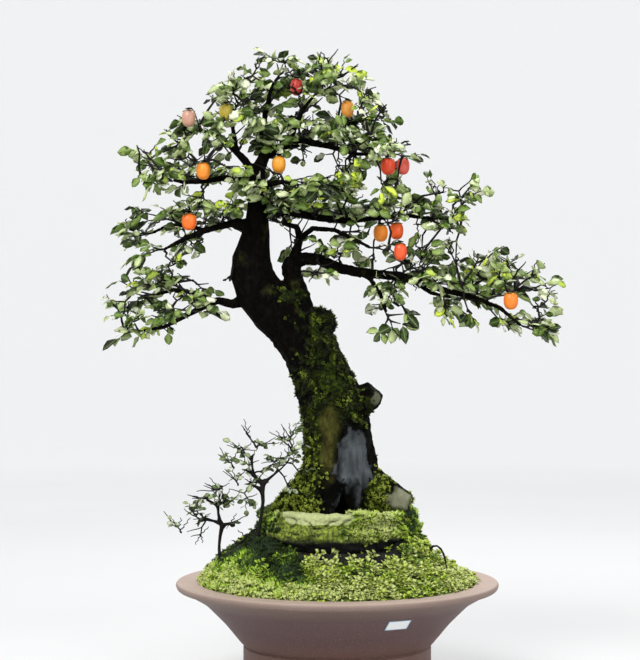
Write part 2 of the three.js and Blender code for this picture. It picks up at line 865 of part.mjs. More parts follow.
// A stem with those clusters, woven as one body. A fork splits one side of the stem's ring.
function sprayBody(frames, clusters) {
  const weave = weaving();
  const last = frames.length - 1;
  const leafyEnd = clusters.find((one) => one.ends);
  let ring = weave.ring(frames[0], frames[0].radius);
  weave.startCap(ring);
  for (let i = 1; i < last; i++) {
    const { centre, ahead, across, radius } = frames[i];
    const fork = clusters.find((one) => one.station === i);
    const into = weave.ring(frames[i], radius);
    let out = into;
    if (fork) {
      const side = fork.left ? 2 : 0;
      const edge = centre.clone().addScaledVector(across, (fork.left ? 1 : -1) * radius);
      const fore = weave.vertex(edge.addScaledVector(ahead, 1.6 * radius));
      const back = into[side];
      out = into.map((index, k) => (k === side ? fore : index));
      const opening = fork.left ? [fore, into[1], back, into[3]] : [back, into[1], fore, into[3]];
      const twigAhead = fork.hub.clone().sub(fork.root).normalize();
      weave.strip(opening, leafFan(weave, { ...fork, ahead: twigAhead }));
    }
    weave.strip(ring, into);
    ring = out;
  }
  if (leafyEnd) weave.strip(ring, leafFan(weave, { ...leafyEnd, ahead: frames[last].ahead }));
  else weave.tipCap(ring, frames[last].centre);
  return weave.body();
}

// How each limb is dressed: sprays along it, the share of the way where they start, their length
const DRESS = {
  hook: { count: 1, from: 1, length: 36 },
  middle: { count: 2, from: 0.55, length: 46 },
  long_right: { count: 4, from: 0.5, length: 58 },
  hanging: { count: 1, from: 1, length: 34 },
  low_right: { count: 1, from: 1, length: 44 },
  right: { count: 3, from: 0.5, length: 60 },
  leader: { count: 3, from: 0.62, length: 52 },
  apex: { count: 2, from: 0.6, length: 44 },
  apex_right: { count: 2, from: 0.6, length: 42 },
  upper_right: { count: 2, from: 0.5, length: 46 },
  upper_left: { count: 2, from: 0.6, length: 46 },
  upper_left_top: { count: 1, from: 1, length: 36 },
  left_high: { count: 2, from: 0.5, length: 56, first: -1 },
  left_middle: { count: 1, from: 1, length: 40 },
  left_middle_top: { count: 2, from: 0.4, length: 54 },
  left_low: { count: 2, from: 0.62, length: 50 },
  left_low_top: { count: 2, from: 0.4, length: 52 },
  back_right: { count: 1, from: 1, length: 60 },
  back_left: { count: 1, from: 1, length: 60 },
  back_top: { count: 1, from: 1, length: 60 },
  front: { count: 1, from: 1, length: 50 },
};

const TIP_SHARE = 0.7;

// Sprays alternate along a limb, and the last one carries its line on from the tip
function plansOf(name, { count, from, length, first = 1 }, draw) {
  const limb = LIMBS[name];
  return Array.from({ length: count }, (_, k) => {
    const share = count === 1 ? 1 : from + ((1 - from) * k) / (count - 1);
    const { point, heading, radius } = along(limb, share);
    const tip = share === 1;
    const flat = heading.clone().setZ(heading.z * 0.4).normalize();
    const beside = flat.clone().cross(UP).normalize();
    const side = k % 2 ? first : -first;
    const open = tip ? draw(-0.2, 0.2) : side * draw(0.9, 1.3);
    return {
      name: `spray_${name}_${k + 1}`,
      root: tip ? point.clone().addScaledVector(heading, GAP + 0.1) : point,
      heading: tip && count > 1 ? flat : flat.clone().addScaledVector(beside, open).normalize(),
      radius: Math.min(1.9, radius * 0.8),
      length: length * draw(0.85, 1.1) * (tip ? TIP_SHARE : 1),
      lift: tip ? 0.15 : draw(0.25, 0.6),
    };
  });
}

// Fruit: [x, y, z] of its middle, then its width
const FRUITS = [
  [-81, -24, 729, 19.5],
  [-204, -40, 649, 21],
  [-184, -48, 718, 19],
  [70, -30, 726, 20],
  [91, -22, 727, 18],
  [60, -24, 634, 20],
  [82, -26, 637, 19],
  [86, -56, 607, 18],
  [238, -44, 540, 20],
  [-56, -26, 836, 18],
  [-204, -48, 790, 19],
  [-154, -34, 800, 18],
  [14, -22, 806, 18],
];

const FRUIT_SIDES = 8;

function fruitBody([x, y, z, width]) {
  const r = width / 2;
  const h = FRUIT_HEIGHT / 2;
  const profile = [
    [0, -h],
    [0.74 * r, -0.68 * h],
    [r, 0],
    [0.76 * r, 0.7 * h],
    [0, h],
  ];
  return turned(profile, FRUIT_SIDES).translate([x, y, z]);
}

const STALK_RADIUS = 1;
const STALK_FOOT = 0.7; // thin enough to start inside the thinnest stem
const STRAIGHT_STALK = 6; // one that starts nearer than this to its bend has none
const STALK_RISE = 2.5; // over the fruit, and as much again where it bends over
// Reach and height of the calyx, which has four lobes
const LOBE = { reach: 0.52, notch: 0.2, rise: 0.8 };

// A stalk that bends over from the wood and opens into four lobes on top of the fruit
function stalkBody([x, y, z, width], from) {
  const crown = new Vector3(x, y, z + FRUIT_HEIGHT / 2 + GAP);
  const toward = from.clone().setZ(z).sub(new Vector3(x, y, z)).normalize();
  const across = toward.clone().cross(UP);
  const over = crown.clone().setZ(crown.z + STALK_RISE);
  const beside = over.clone().addScaledVector(toward, width / 2 + 3).setZ(over.z + STALK_RISE);
  const weave = weaving();
  const ringAt = (centre, ahead, radius) => {
    const normal = ahead.clone().normalize().cross(across);
    return weave.ring({ centre, across, normal }, radius);
  };
  const straight = from.distanceTo(beside) < STRAIGHT_STALK;
  const foot = ringAt(from, (straight ? over : beside).clone().sub(from), STALK_FOOT);
  const bend = straight ? foot : ringAt(beside, over.clone().sub(from), STALK_RADIUS);
  const corners = ringAt(over, UP.clone().negate(), STALK_RADIUS);
  weave.startCap(foot);
  if (!straight) weave.strip(foot, bend);
  weave.strip(bend, corners);
  const quarter = TURN / 4;
  const start = Math.atan2(toward.y, toward.x) + quarter;
  const spot = (reach, angle) =>
    weave.vertex(
      crown
        .clone()
        .add(new Vector3(reach * Math.cos(angle), reach * Math.sin(angle), LOBE.rise)),
    );
  const notches = corners.map((_, k) => spot(LOBE.notch * width, start + k * quarter));
  const lobes = corners.map((_, k) => spot(LOBE.reach * width, start + (k + 0.5) * quarter));
  corners.forEach((corner, k) => {
    const next = (k + 1) % 4;
    weave.fanned(corner, [notches[k], lobes[k], corners[next]]);
    weave.fanned(corners[next], [lobes[k], notches[next]]);
  });
  const star = notches.flatMap((notch, k) => [notch, lobes[k]]);
  weave.fanned(weave.vertex(crown), [...star, star[0]].reverse());
  return weave.body();
}

function nearestOn(stations, target) {
  let best = { away: Infinity };
  for (let share = 0.05; share <= 0.95; share += 0.05) {
    const { point } = along(stations, share);
    const away = point.distanceTo(target);
    if (away < best.away) best = { away, point };
  }
  return best;
}

// Companions and small things

const SAPLINGS = {
  sapling_left: {
    stem: [
      [-160, -30, 168, 3.2],
      [-165, -31, 198, 2.8],
      [-160, -32, 230, 2.3],
      [-165, -33, 248, 1.8],
      [-163, -33, 268, 1.3],
      [-158, -34, 284, 1],
    ],
    boughs: [
      [
        [-160, -32, 231, 1.9],
        [-180, -38, 242, 1.5],
        [-214, -46, 222, 0.9],
      ],
      [
        [-159, -32, 229, 1.7],
        [-147, -26, 234, 1.3],
        [-136, -22, 222, 1],
      ],
      [
        [-164, -33, 256, 1.5],
        [-182, -40, 270, 1.1],
        [-200, -44, 268, 0.9],
      ],
    ],
  },
  sapling_tall: {
    stem: [
      [-116, -48, 184, 4],
      [-108, -46, 226, 3.6],
      [-101, -44, 262, 3.1],
      [-104, -42, 288, 2.4],
      [-120, -40, 306, 1.9],
      [-142, -38, 310, 1.3],
    ],
    boughs: [
      [
        [-103, -42, 280, 2],
        [-120, -52, 290, 1.5],
        [-136, -58, 288, 1],
      ],
      [
        [-104, -42, 288, 2],
        [-86, -46, 302, 1.5],
        [-68, -50, 318, 1.1],
        [-62, -52, 332, 0.9],
      ],
      [
        [-116, -40, 302, 1.6],
        [-118, -36, 322, 1.2],
        [-112, -34, 338, 0.9],
      ],
    ],
  },
};

const BARE_STATIONS = 2; // at the foot of a sapling's stem
const SAPLING_TWIG = 18;
const SAPLING_LEAF = [12, 16];
const SAPLING_LEAFY = { thick: 1.3, twig: 0.8, axil: 1.6 };

function saplingBody({ stem, boughs }, others, seed) {
  const draw = draws(seed);
  const size = { reach: SAPLING_TWIG, leaf: SAPLING_LEAF, form: SAPLING_LEAFY };
  const trunkFrames = framesOf(stem);
  const leafy = clustersOf(trunkFrames, size, draw).filter((one) => one.station > BARE_STATIONS);
  let body = sprayBody(trunkFrames, clearOf(trunkFrames, leafy, others));
  for (const path of boughs) {
    const frames = framesOf(path);
    const clusters = clearOf(frames, clustersOf(frames, size, draw), others);
    body = body.add(sprayBody(frames, clusters));
  }
  return largestBody(body);
}

// A dead root that arches out of the carpet on the right
const ARCHING_ROOT = [
  [122, -34, 186, 2.6],
  [131, -38, 207, 2.4],
  [143, -42, 201, 2.2],
  [149, -45, 184, 2],
  [150, -47, 160, 1.8],
];

// A blank paper label that lies flat on one facet of the flare
const LABEL = { length: 33, width: 19, thick: 0.8, height: 113.5 };

function labelBody() {
  const slope = Math.atan2(FLARE_TOP[1] - FLARE_FOOT[1], FLARE_TOP[0] - FLARE_FOOT[0]);
  const radius = FLARE_FOOT[0] + (LABEL.height - FLARE_FOOT[1]) / Math.tan(slope);
  const facet = radius * Math.cos(Math.PI / POT_SEGMENTS);
  const label = new THREE.BoxGeometry(LABEL.width, LABEL.length, LABEL.thick);
  label.translate(0, 0, -GAP - LABEL.thick / 2);
  label.rotateY(-slope);
  label.translate(facet, 0, LABEL.height);
  label.rotateZ(radians(LABEL_ANGLE));
  return solid(label);
}

// Assembly

const bonsai = new THREE.Group();

function place(name, body, material) {
  const mesh = new THREE.Mesh(geometryOf(body), material);
  mesh.name = name;
  bonsai.add(mesh);
  return { name, body };
}

const trunkClear = wood(GAP);
const rockClear = rockBody(null, GAP);
const rock = rockBody(trunkClear);

place("pot", potBody(), MATERIALS.clay);
place("drain_screen", screenBody(), MATERIALS.screen);
place("pot_label", labelBody(), MATERIALS.label);

// What stands in soil and moss stands in a plain hole, a little wider and deeper than itself
function plugOf(stations) {
  const wider = stations.map(([x, y, z, radius]) => [x, y, z, radius + 2 * GAP]);
  wider[0][2] -= 2 * GAP;
  wider.at(-1)[2] -= 2 * GAP;
  return sprayBody(framesOf(wider), []);
}

const saplingPlugs = Object.values(SAPLINGS).map(({ stem }) => plugOf(stem));
const plugs = union([trunkClear, ...saplingPlugs, plugOf(ARCHING_ROOT)]);
const soil = place("soil", soilBody(plugs), MATERIALS.soil);
const carpet = place("moss_carpet", carpetBody(rockClear.add(plugs)), MATERIALS.carpet);
place("rock", rock, MATERIALS.rock);
place("arching_root", sprayBody(framesOf(ARCHING_ROOT), []), MATERIALS.bark);

const fruits = FRUITS.map((fruit, i) => {
  const number = String(i + 1).padStart(2, "0");
  return place(`fruit_${number}`, fruitBody(fruit), MATERIALS.fruit);
});

// Every stem is laid before any leaf. One that would cross another node is bent another way.
const draw = draws(7);
const plans = Object.entries(DRESS).flatMap(([name, dress]) => plansOf(name, dress, draw));
const STEM_ATTEMPTS = 12;
const laidStems = [];
for (const plan of plans) {
  for (let attempt = 0; attempt < STEM_ATTEMPTS; attempt++) {
    plan.stem = sprayStem(plan, draw);
    plan.frames = framesOf(plan.stem);
    plan.bones = sprayBody(plan.frames, []).subtract(trunkClear);
    if (!crowded(plan.bones, [...fruits, ...laidStems], 1)) break;
  }
  plan.stalks = [];
  laidStems.push({ body: plan.bones });
}

// Each fruit hangs from the nearest stem or limb
const bearers = [
  ...plans.map((plan) => ({ plan, stations: plan.stem })),
  ...Object.entries(LIMBS)
    .filter(([name]) => !ROOTS.test(name))
    .map(([, stations]) => ({ stations })),
];
const limbStalks = [];
for (const fruit of FRUITS) {
  const [x, y, z] = fruit;
  const above = new Vector3(x, y + 4, z + FRUIT_HEIGHT / 2 + 10);
  const bearer = bearers
    .map((one) => ({ ...one, ...nearestOn(one.stations, above) }))
    .reduce((best, one) => (one.away < best.away ? one : best));
  const stalk = stalkBody(fruit, bearer.point);
  if (bearer.plan) bearer.plan.stalks.push(stalk);
  else limbStalks.push(stalk);
}
const tree = place("trunk", union([wood(), ...limbStalks]), MATERIALS.bark);

const settled = [tree, soil, carpet, { body: rock }, ...fruits];
const bones = plans.map((plan) => ({ plan, body: union([plan.bones, ...plan.stalks]) }));
for (const plan of plans) {
  const size = { reach: TWIG_LENGTH, leaf: LEAF_LENGTH };
  const others = [...settled, ...bones.filter((one) => one.plan !== plan)];
  const clusters = clearOf(plan.frames, clustersOf(plan.frames, size, draw), others);
  const body = union([sprayBody(plan.frames, clusters), ...plan.stalks]).subtract(trunkClear);
  settled.push(place(plan.name, largestBody(body), MATERIALS.leaf));
}
Object.entries(SAPLINGS).forEach(([name, sapling], i) => {
  settled.push(place(name, saplingBody(sapling, settled, 90 + i), MATERIALS.sapling));
});

export default bonsai;
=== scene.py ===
# A fruiting persimmon bonsai in a round clay pot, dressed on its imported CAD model.
# Metres, +Z up, and the tree faces -Y. Every finer piece starts from the CAD node that it replaces.
import math
import random

import bmesh
import bpy
import numpy as np
from mathutils import Matrix, Vector, noise
from mathutils.kdtree import KDTree


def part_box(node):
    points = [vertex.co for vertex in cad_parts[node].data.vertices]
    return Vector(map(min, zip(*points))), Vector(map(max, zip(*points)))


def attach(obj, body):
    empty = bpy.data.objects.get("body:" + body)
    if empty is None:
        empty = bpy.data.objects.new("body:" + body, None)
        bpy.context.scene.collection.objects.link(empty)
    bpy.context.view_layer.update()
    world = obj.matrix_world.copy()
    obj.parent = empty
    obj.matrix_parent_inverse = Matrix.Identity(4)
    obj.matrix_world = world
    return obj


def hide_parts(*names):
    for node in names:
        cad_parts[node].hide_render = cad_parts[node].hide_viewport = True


mm = 0.001
up = Vector((0, 0, 1))
weld = 1e-6  # the CAD nodes come as loose triangles

camera = {
    "place": Vector((-0.024, -2.5, 0.5)),
    "frameHeight": 0.9223,  # what the view takes in at the tree
    "sensor": 36,
}


def makeCamera():
    lens = bpy.data.cameras.new("camera")
    lens.sensor_width = camera["sensor"]
    lens.lens = camera["sensor"] * -camera["place"].y / camera["frameHeight"]
    eye = bpy.data.objects.new("camera", lens)
    eye.location = camera["place"]
    eye.rotation_euler = (math.radians(90), 0, 0)
    bpy.context.scene.collection.objects.link(eye)
    bpy.context.scene.camera = eye


makeCamera()
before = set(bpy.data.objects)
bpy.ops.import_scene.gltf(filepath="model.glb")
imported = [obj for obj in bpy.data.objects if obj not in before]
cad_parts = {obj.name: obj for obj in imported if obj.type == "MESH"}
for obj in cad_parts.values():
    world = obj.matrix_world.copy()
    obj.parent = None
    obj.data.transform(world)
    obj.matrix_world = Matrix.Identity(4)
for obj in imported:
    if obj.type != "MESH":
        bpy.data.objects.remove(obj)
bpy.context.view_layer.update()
print("frame:", len(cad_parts), "nodes")


# Small helpers


def linear(hexColour, alpha=1.0):
    parts = [int(hexColour[i : i + 2], 16) / 255 for i in (1, 3, 5)]
    return [c / 12.92 if c <= 0.04045 else ((c + 0.055) / 1.055) ** 2.4 for c in parts] + [alpha]


# Settings that many nodes share
plus = {"operation": "ADD", "use_clamp": True}
minus = {"operation": "SUBTRACT", "use_clamp": True}
times = {"operation": "MULTIPLY", "use_clamp": True}
timesPlus = {"operation": "MULTIPLY_ADD", "use_clamp": True}
rgb = {"data_type": "RGBA"}
floats = {"data_type": "FLOAT"}
vectors = {"data_type": "FLOAT_VECTOR"}


# A node stands for its first live output
def outputOf(source):
    if isinstance(source, bpy.types.Node):
        return next(output for output in source.outputs if output.enabled)
    return source


def setStops(band, stops):
    while len(band) < len(stops):
        band.new(0.5)
    for element, (position, colour) in zip(band, stops):
        element.position = position
        element.color = linear(colour)


# Inputs are sockets or nodes to link, colours in hex, or plain values
def addNode(tree, kind, settings=None, inputs=None):
    node = tree.nodes.new(kind)
    for name, value in (settings or {}).items():
        if name == "stops":
            setStops(node.color_ramp.elements, value)
        else:
            setattr(node, name, value)
    for socket, value in (inputs or {}).items():
        source = outputOf(value)
        if isinstance(source, bpy.types.NodeSocket):
            tree.links.new(source, node.inputs[socket])
        else:
            hexed = isinstance(value, str) and value.startswith("#")
            node.inputs[socket].default_value = linear(value) if hexed else value
    return node


def smoothstep(low, high, value):
    share = min(max((value - low) / (high - low), 0.0), 1.0)
    return share * share * (3 - 2 * share)


def hill(value, middle, half):
    return math.exp(-(((value - middle) / half) ** 2))


def newPiece(name, mesh):
    piece = bpy.data.objects.new(name, mesh)
    bpy.context.scene.collection.objects.link(piece)
    return piece


def meshOf(name, points, faces=(), edges=()):
    mesh = bpy.data.meshes.new(name)
    mesh.from_pydata([tuple(p) for p in points], list(edges), list(faces))
    return mesh


def setField(mesh, name, values, kind="FLOAT"):
    field = mesh.attributes.new(name, kind, "POINT")
    flat = np.asarray(values, dtype=np.int32 if kind == "INT" else np.float32).ravel()
    field.data.foreach_set("vector" if kind == "FLOAT_VECTOR" else "value", flat)


# Turns what the modifiers make into a plain mesh
def settled(piece):
    evaluated = piece.evaluated_get(bpy.context.evaluated_depsgraph_get())
    mesh = bpy.data.meshes.new_from_object(evaluated)
    piece.modifiers.clear()
    old = piece.data
    piece.data = mesh
    bpy.data.meshes.remove(old)
    mesh.name = piece.name
    return piece


def joined(name, pieces):
    bm = bmesh.new()
    materials = []
    for piece in pieces:
        start = len(bm.faces)
        bm.from_mesh(piece.data)
        bm.faces.ensure_lookup_table()
        for slot in piece.data.materials:
            if slot not in materials:
                materials.append(slot)
        places = [materials.index(slot) for slot in piece.data.materials]
        for face in bm.faces[start:]:
            face.material_index = places[face.material_index]
    mesh = bpy.data.meshes.new(name)
    bm.to_mesh(mesh)
    bm.free()
    for slot in materials:
        mesh.materials.append(slot)
    for piece in pieces:
        bpy.data.objects.remove(piece)
    return newPiece(name, mesh)


def finish(piece, slot, *nodes):
    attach(piece, "root")
    if nodes:
        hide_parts(*nodes)
    return piece


def welded(node):
    bm = bmesh.new()
    bm.from_mesh(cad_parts[node].data)
    bmesh.ops.remove_doubles(bm, verts=bm.verts, dist=weld)
    bm.verts.index_update()
    bm.faces.index_update()
    return bm


# A set of points or faces has no order of its own, and every run has to draw alike
def inOrder(parts):
    return sorted(parts, key=lambda part: part.index)


# A finer copy of a CAD node: voxels round its facets, then it is smoothed and swollen back
def fineCopy(name, node, voxel, smoothing, swell, keep=1.0):
    bm = welded(node)
    mesh = bpy.data.meshes.new(name)
    bm.to_mesh(mesh)
    bm.free()
    piece = newPiece(name, mesh)
    remesh = piece.modifiers.new("Voxels", "REMESH")
    remesh.mode = "VOXEL"
    remesh.voxel_size = voxel
    smooth = piece.modifiers.new("Smooth", "SMOOTH")
    smooth.factor = 0.5
    smooth.iterations = smoothing
    if keep < 1:
        thin = piece.modifiers.new("Thin", "DECIMATE")
        thin.ratio = keep
    grow = piece.modifiers.new("Swell", "DISPLACE")
    grow.strength = swell
    grow.mid_level = 0
    settled(piece)
    piece.data.shade_smooth()
    return piece


# Pushes each point along its normal by what the relief says, in mm, and keeps the fields it gives
def sculpt(mesh, relief):
    count = len(mesh.vertices)
    places, normals = np.empty(3 * count, np.float32), np.empty(3 * count, np.float32)
    mesh.vertices.foreach_get("co", places)
    mesh.vertex_normals.foreach_get("vector", normals)
    places, normals = places.reshape(-1, 3), normals.reshape(-1, 3)
    pushes, fields = np.empty(count), {}
    for k in range(count):
        pushes[k], found = relief(Vector(places[k]) / mm, Vector(normals[k]))
        for name, value in found.items():
            fields.setdefault(name, []).append(value)
    moved = places + normals * pushes[:, None] * mm
    mesh.vertices.foreach_set("co", moved.astype(np.float32).ravel())
    mesh.update()
    for name, values in fields.items():
        setField(mesh, name, values)


# Geometry Nodes

def newTree(name, inputs):
    tree = bpy.data.node_groups.new(name, "GeometryNodeTree")
    face = tree.interface
    face.new_socket("Geometry", in_out="INPUT", socket_type="NodeSocketGeometry")
    for label, kind in inputs.items():
        face.new_socket(label, in_out="INPUT", socket_type=f"NodeSocket{kind}")
    face.new_socket("Geometry", in_out="OUTPUT", socket_type="NodeSocketGeometry")
    return tree, addNode(tree, "NodeGroupInput").outputs


def endTree(tree, shape, material):
    painting = {"Geometry": shape, "Material": material}
    painted = addNode(tree, "GeometryNodeSetMaterial", inputs=painting)
    addNode(tree, "NodeGroupOutput", inputs={"Geometry": painted})
    return tree


def grown(piece, tree, values):
    modifier = piece.modifiers.new(tree.name, "NODES")
    modifier.node_group = tree
    for item in tree.interface.items_tree:
        if item.name in values:
            modifier[item.identifier] = values[item.name]
    return settled(piece)


# Tubes along an edge mesh, as thick as its "thickness" field says
def twigTree():
    tree, given = newTree("twigs", {"Sides": "Int", "Material": "Material"})
    curve = addNode(tree, "GeometryNodeMeshToCurve", inputs={"Mesh": given["Geometry"]})
    circle = {"Resolution": given["Sides"], "Radius": 1}
    section = addNode(tree, "GeometryNodeCurvePrimitiveCircle", inputs=circle)
    thickness = addNode(tree, "GeometryNodeInputNamedAttribute", floats, {"Name": "thickness"})
    sweep = {"Curve": curve, "Profile Curve": section, "Scale": thickness, "Fill Caps": True}
    tube = addNode(tree, "GeometryNodeCurveToMesh", inputs=sweep)
    smooth = addNode(tree, "GeometryNodeSetShadeSmooth", inputs={"Geometry": tube})
    return endTree(tree, smooth, given["Material"])


# Leaves on points. Each point carries where its leaf heads and faces, its size, form and tone.
def leafTree():
    tree, given = newTree("leaves", {"Shapes": "Collection", "Material": "Material"})
    carried = {"heading": vectors, "facing": vectors, "size": vectors, "form": {"data_type": "INT"}}
    fields = {
        name: addNode(tree, "GeometryNodeInputNamedAttribute", kind, {"Name": name})
        for name, kind in carried.items()
    }
    picking = {"Collection": given["Shapes"], "Separate Children": True, "Reset Children": True}
    shapes = addNode(tree, "GeometryNodeCollectionInfo", inputs=picking)
    turn = addNode(
        tree,
        "FunctionNodeAxesToRotation",
        {"primary_axis": "Y", "secondary_axis": "Z"},
        {"Primary Axis": fields["heading"], "Secondary Axis": fields["facing"]},
    )
    placed = addNode(
        tree,
        "GeometryNodeInstanceOnPoints",
        inputs={
            "Points": given["Geometry"],
            "Instance": shapes,
            "Pick Instance": True,
            "Instance Index": fields["form"],
            "Rotation": turn,
            "Scale": fields["size"],
        },
    )
    real = addNode(tree, "GeometryNodeRealizeInstances", inputs={"Geometry": placed})
    return endTree(tree, real, given["Material"])


# Moss and ground cover: shapes strewn over a surface wherever its named field is high
def coverTree():
    tree, given = newTree(
        "cover",
        {
            "Shapes": "Collection",
            "Where": "String",
            "Density": "Float",
            "Smallest": "Float",
            "Largest": "Float",
            "Upright": "Float",
            "Patch Size": "Float",
            "Speckle": "Float",
            "Seed": "Int",
            "Material": "Material",
        },
    )
    where = addNode(tree, "GeometryNodeInputNamedAttribute", floats, {"Name": given["Where"]})
    amount = addNode(
        tree, "ShaderNodeMath", {"operation": "MULTIPLY"}, {0: where, 1: given["Density"]}
    )
    strewing = {"Mesh": given["Geometry"], "Density": amount, "Seed": given["Seed"]}
    strewn = addNode(tree, "GeometryNodeDistributePointsOnFaces", inputs=strewing)
    leaning = {0: given["Upright"], 4: strewn.outputs["Normal"], 5: (0, 0, 1)}
    upward = addNode(tree, "ShaderNodeMix", {"data_type": "VECTOR"}, leaning)
    stand = addNode(tree, "FunctionNodeAlignRotationToVector", {"axis": "Z"}, {"Vector": upward})
    tilt = 0.35
    turning = {0: (-tilt, -tilt, 0), 1: (tilt, tilt, math.tau), "Seed": given["Seed"]}
    spin = addNode(tree, "FunctionNodeRandomValue", vectors, turning)
    turned = addNode(
        tree, "FunctionNodeRotateRotation", {"rotation_space": "LOCAL"}, {0: stand, 1: spin}
    )
    sizes = {2: given["Smallest"], 3: given["Largest"], "Seed": given["Seed"]}
    scale = addNode(tree, "FunctionNodeRandomValue", floats, sizes)
    picking = {"Collection": given["Shapes"], "Separate Children": True, "Reset Children": True}
    shapes = addNode(tree, "GeometryNodeCollectionInfo", inputs=picking)
    placed = addNode(
        tree,
        "GeometryNodeInstanceOnPoints",
        inputs={
            "Points": strewn,
            "Instance": shapes,
            "Pick Instance": True,
            "Rotation": turned,
            "Scale": scale,
        },
    )
    # A sprig's tone: paler and darker patches, the painted light and shade that its ground carries
    # in 'glow', and a speckle of its own
    position = addNode(tree, "GeometryNodeInputPosition")
    cloud = {"Vector": position, "Scale": given["Patch Size"], "Detail": 2}
    patches = addNode(tree, "ShaderNodeTexNoise", inputs=cloud)
    dimmest = addNode(
        tree, "ShaderNodeMath", {"operation": "MULTIPLY"}, {0: given["Speckle"], 1: -1}
    )
    speckSeed = 5
    specks = {2: dimmest, 3: given["Speckle"], "Seed": speckSeed}
    speck = addNode(tree, "FunctionNodeRandomValue", floats, specks)
    contrast, offset = 2.2, -0.6
    spreading = {0: patches, 1: contrast, 2: offset}
    spread = addNode(tree, "ShaderNodeMath", {"operation": "MULTIPLY_ADD"}, spreading)
    glow = addNode(tree, "GeometryNodeInputNamedAttribute", floats, {"Name": "glow"})
    lit = addNode(tree, "ShaderNodeMath", {"operation": "ADD"}, {0: spread, 1: glow})
    tone = addNode(tree, "ShaderNodeMath", plus, {0: lit, 1: speck})
    toned = addNode(
        tree,
        "GeometryNodeStoreNamedAttribute",
        {**floats, "domain": "INSTANCE"},
        {"Geometry": placed, "Name": "tone", "Value": tone},
    )
    real = addNode(tree, "GeometryNodeRealizeInstances", inputs={"Geometry": toned})
    return endTree(tree, real, given["Material"])


# Materials

def newMaterial(name, look):
    material = bpy.data.materials.new(name)
    material.use_nodes = True
    tree = material.node_tree
    surface = tree.nodes["Principled BSDF"]
    for socket, value in look.items():
        surface.inputs[socket].default_value = value
    place = addNode(tree, "ShaderNodeTexCoord").outputs["Object"]
    return material, tree, surface, place


# Ends a material with its colour and, where it has one, a relief that is so many mm deep
def surfaced(tree, surface, colour, height=None, depth=0):
    tree.links.new(outputOf(colour), surface.inputs["Base Color"])
    if height:
        relief = {"Distance": depth * mm, "Height": height}
        bump = addNode(tree, "ShaderNodeBump", inputs=relief)
        tree.links.new(bump.outputs["Normal"], surface.inputs["Normal"])


# Noise inputs that give grains about so many millimetres across
def grains(place, size, detail=3, roughness=0.55):
    return {"Vector": place, "Scale": 1 / (size * mm), "Detail": detail, "Roughness": roughness}


# The named fields of a mesh, as sockets
def fieldsOf(tree, *names):
    nodes = [addNode(tree, "ShaderNodeAttribute", {"attribute_name": name}) for name in names]
    return [node.outputs["Fac"] for node in nodes]


# Where a field passes a noisy threshold, so that its edge breaks up as moss and bark do
def ragged(tree, amount, noisy, softness):
    gap = addNode(tree, "ShaderNodeMath", minus, {0: 1, 1: amount})
    low = addNode(tree, "ShaderNodeMath", minus, {0: gap, 1: softness})
    high = addNode(tree, "ShaderNodeMath", plus, {0: gap, 1: softness})
    limits = {"Value": noisy, "From Min": low, "From Max": high}
    return addNode(tree, "ShaderNodeMapRange", {"interpolation_type": "SMOOTHSTEP"}, limits)


# One colour that varies with a grain, over a finer grain in relief
def grainyMaterial(name, look, stops, tintSize, reliefSize, depth):
    material, tree, surface, place = newMaterial(name, look)
    patches = addNode(tree, "ShaderNodeTexNoise", inputs=grains(place, tintSize))
    tint = addNode(tree, "ShaderNodeValToRGB", {"stops": stops}, {0: patches})
    relief = addNode(tree, "ShaderNodeTexNoise", inputs=grains(place, reliefSize))
    surfaced(tree, surface, tint, relief, depth)
    return material


# Stoneware: dense unglazed purple clay, pressed and burnished, with fine pale grog in it
# The clay's colour by height: darker low on the pot, paler up the rim and palest on its top
clayByHeight = [
    (0, "#63453C"),
    (0.34, "#63463E"),
    (0.5, "#5B4342"),
    (0.75, "#5F4948"),
    (0.93, "#7C695F"),
    (0.985, "#8C786D"),
    (1, "#B39D90"),
]


def stonewareMaterial():
    look = {"Roughness": 0.6, "IOR": 1.5}
    material, tree, surface, place = newMaterial("stonewareUnglazed", look)
    height = addNode(tree, "ShaderNodeSeparateXYZ", inputs={0: place}).outputs["Z"]
    reach = {"Value": height, "From Min": 0.03, "From Max": 0.15}
    rise = addNode(tree, "ShaderNodeMapRange", inputs=reach)
    heightTint = addNode(tree, "ShaderNodeValToRGB", {"stops": clayByHeight}, {0: rise})
    clouds = addNode(tree, "ShaderNodeTexNoise", inputs=grains(place, 60, 4))
    faint = addNode(tree, "ShaderNodeMath", times, {0: clouds, 1: 0.3})
    cloudy = addNode(tree, "ShaderNodeMix", rgb, {0: faint, 6: heightTint, 7: "#4A3634"})
    grog = addNode(tree, "ShaderNodeTexNoise", inputs=grains(place, 1.6, 1))
    stops = [(0, "#000000"), (0.62, "#000000"), (0.72, "#FFFFFF")]
    specks = addNode(tree, "ShaderNodeValToRGB", {"stops": stops}, {0: grog})
    pale = addNode(tree, "ShaderNodeMath", times, {0: specks, 1: 0.16})
    speckled = addNode(tree, "ShaderNodeMix", rgb, {0: pale, 6: cloudy, 7: "#C9B5A6"})
    waves = addNode(tree, "ShaderNodeTexNoise", inputs=grains(place, 9, 2))
    relief = addNode(tree, "ShaderNodeMath", plus, {0: grog, 1: waves})
    surfaced(tree, surface, speckled, relief, 0.25)
    return material


# Akadama soil: baked granules a few millimetres across, damp and dark
def soilMaterial():
    material, tree, surface, place = newMaterial("akadamaSoil", {"Roughness": 0.95})
    granule = 4 * mm
    cells = addNode(tree, "ShaderNodeTexVoronoi", inputs={"Vector": place, "Scale": 1 / granule})
    # Painted shade: each granule is lighter at its middle and near black towards its edge, so the
    # gaps between granules are dark
    stops = [(0, "#5A4230"), (0.6, "#33251A"), (1, "#120C08")]
    tint = addNode(tree, "ShaderNodeValToRGB", {"stops": stops}, {0: cells})
    crowns = addNode(tree, "ShaderNodeMath", minus, {0: 1, 1: cells})
    surfaced(tree, surface, tint, crowns, 1.5)
    return material


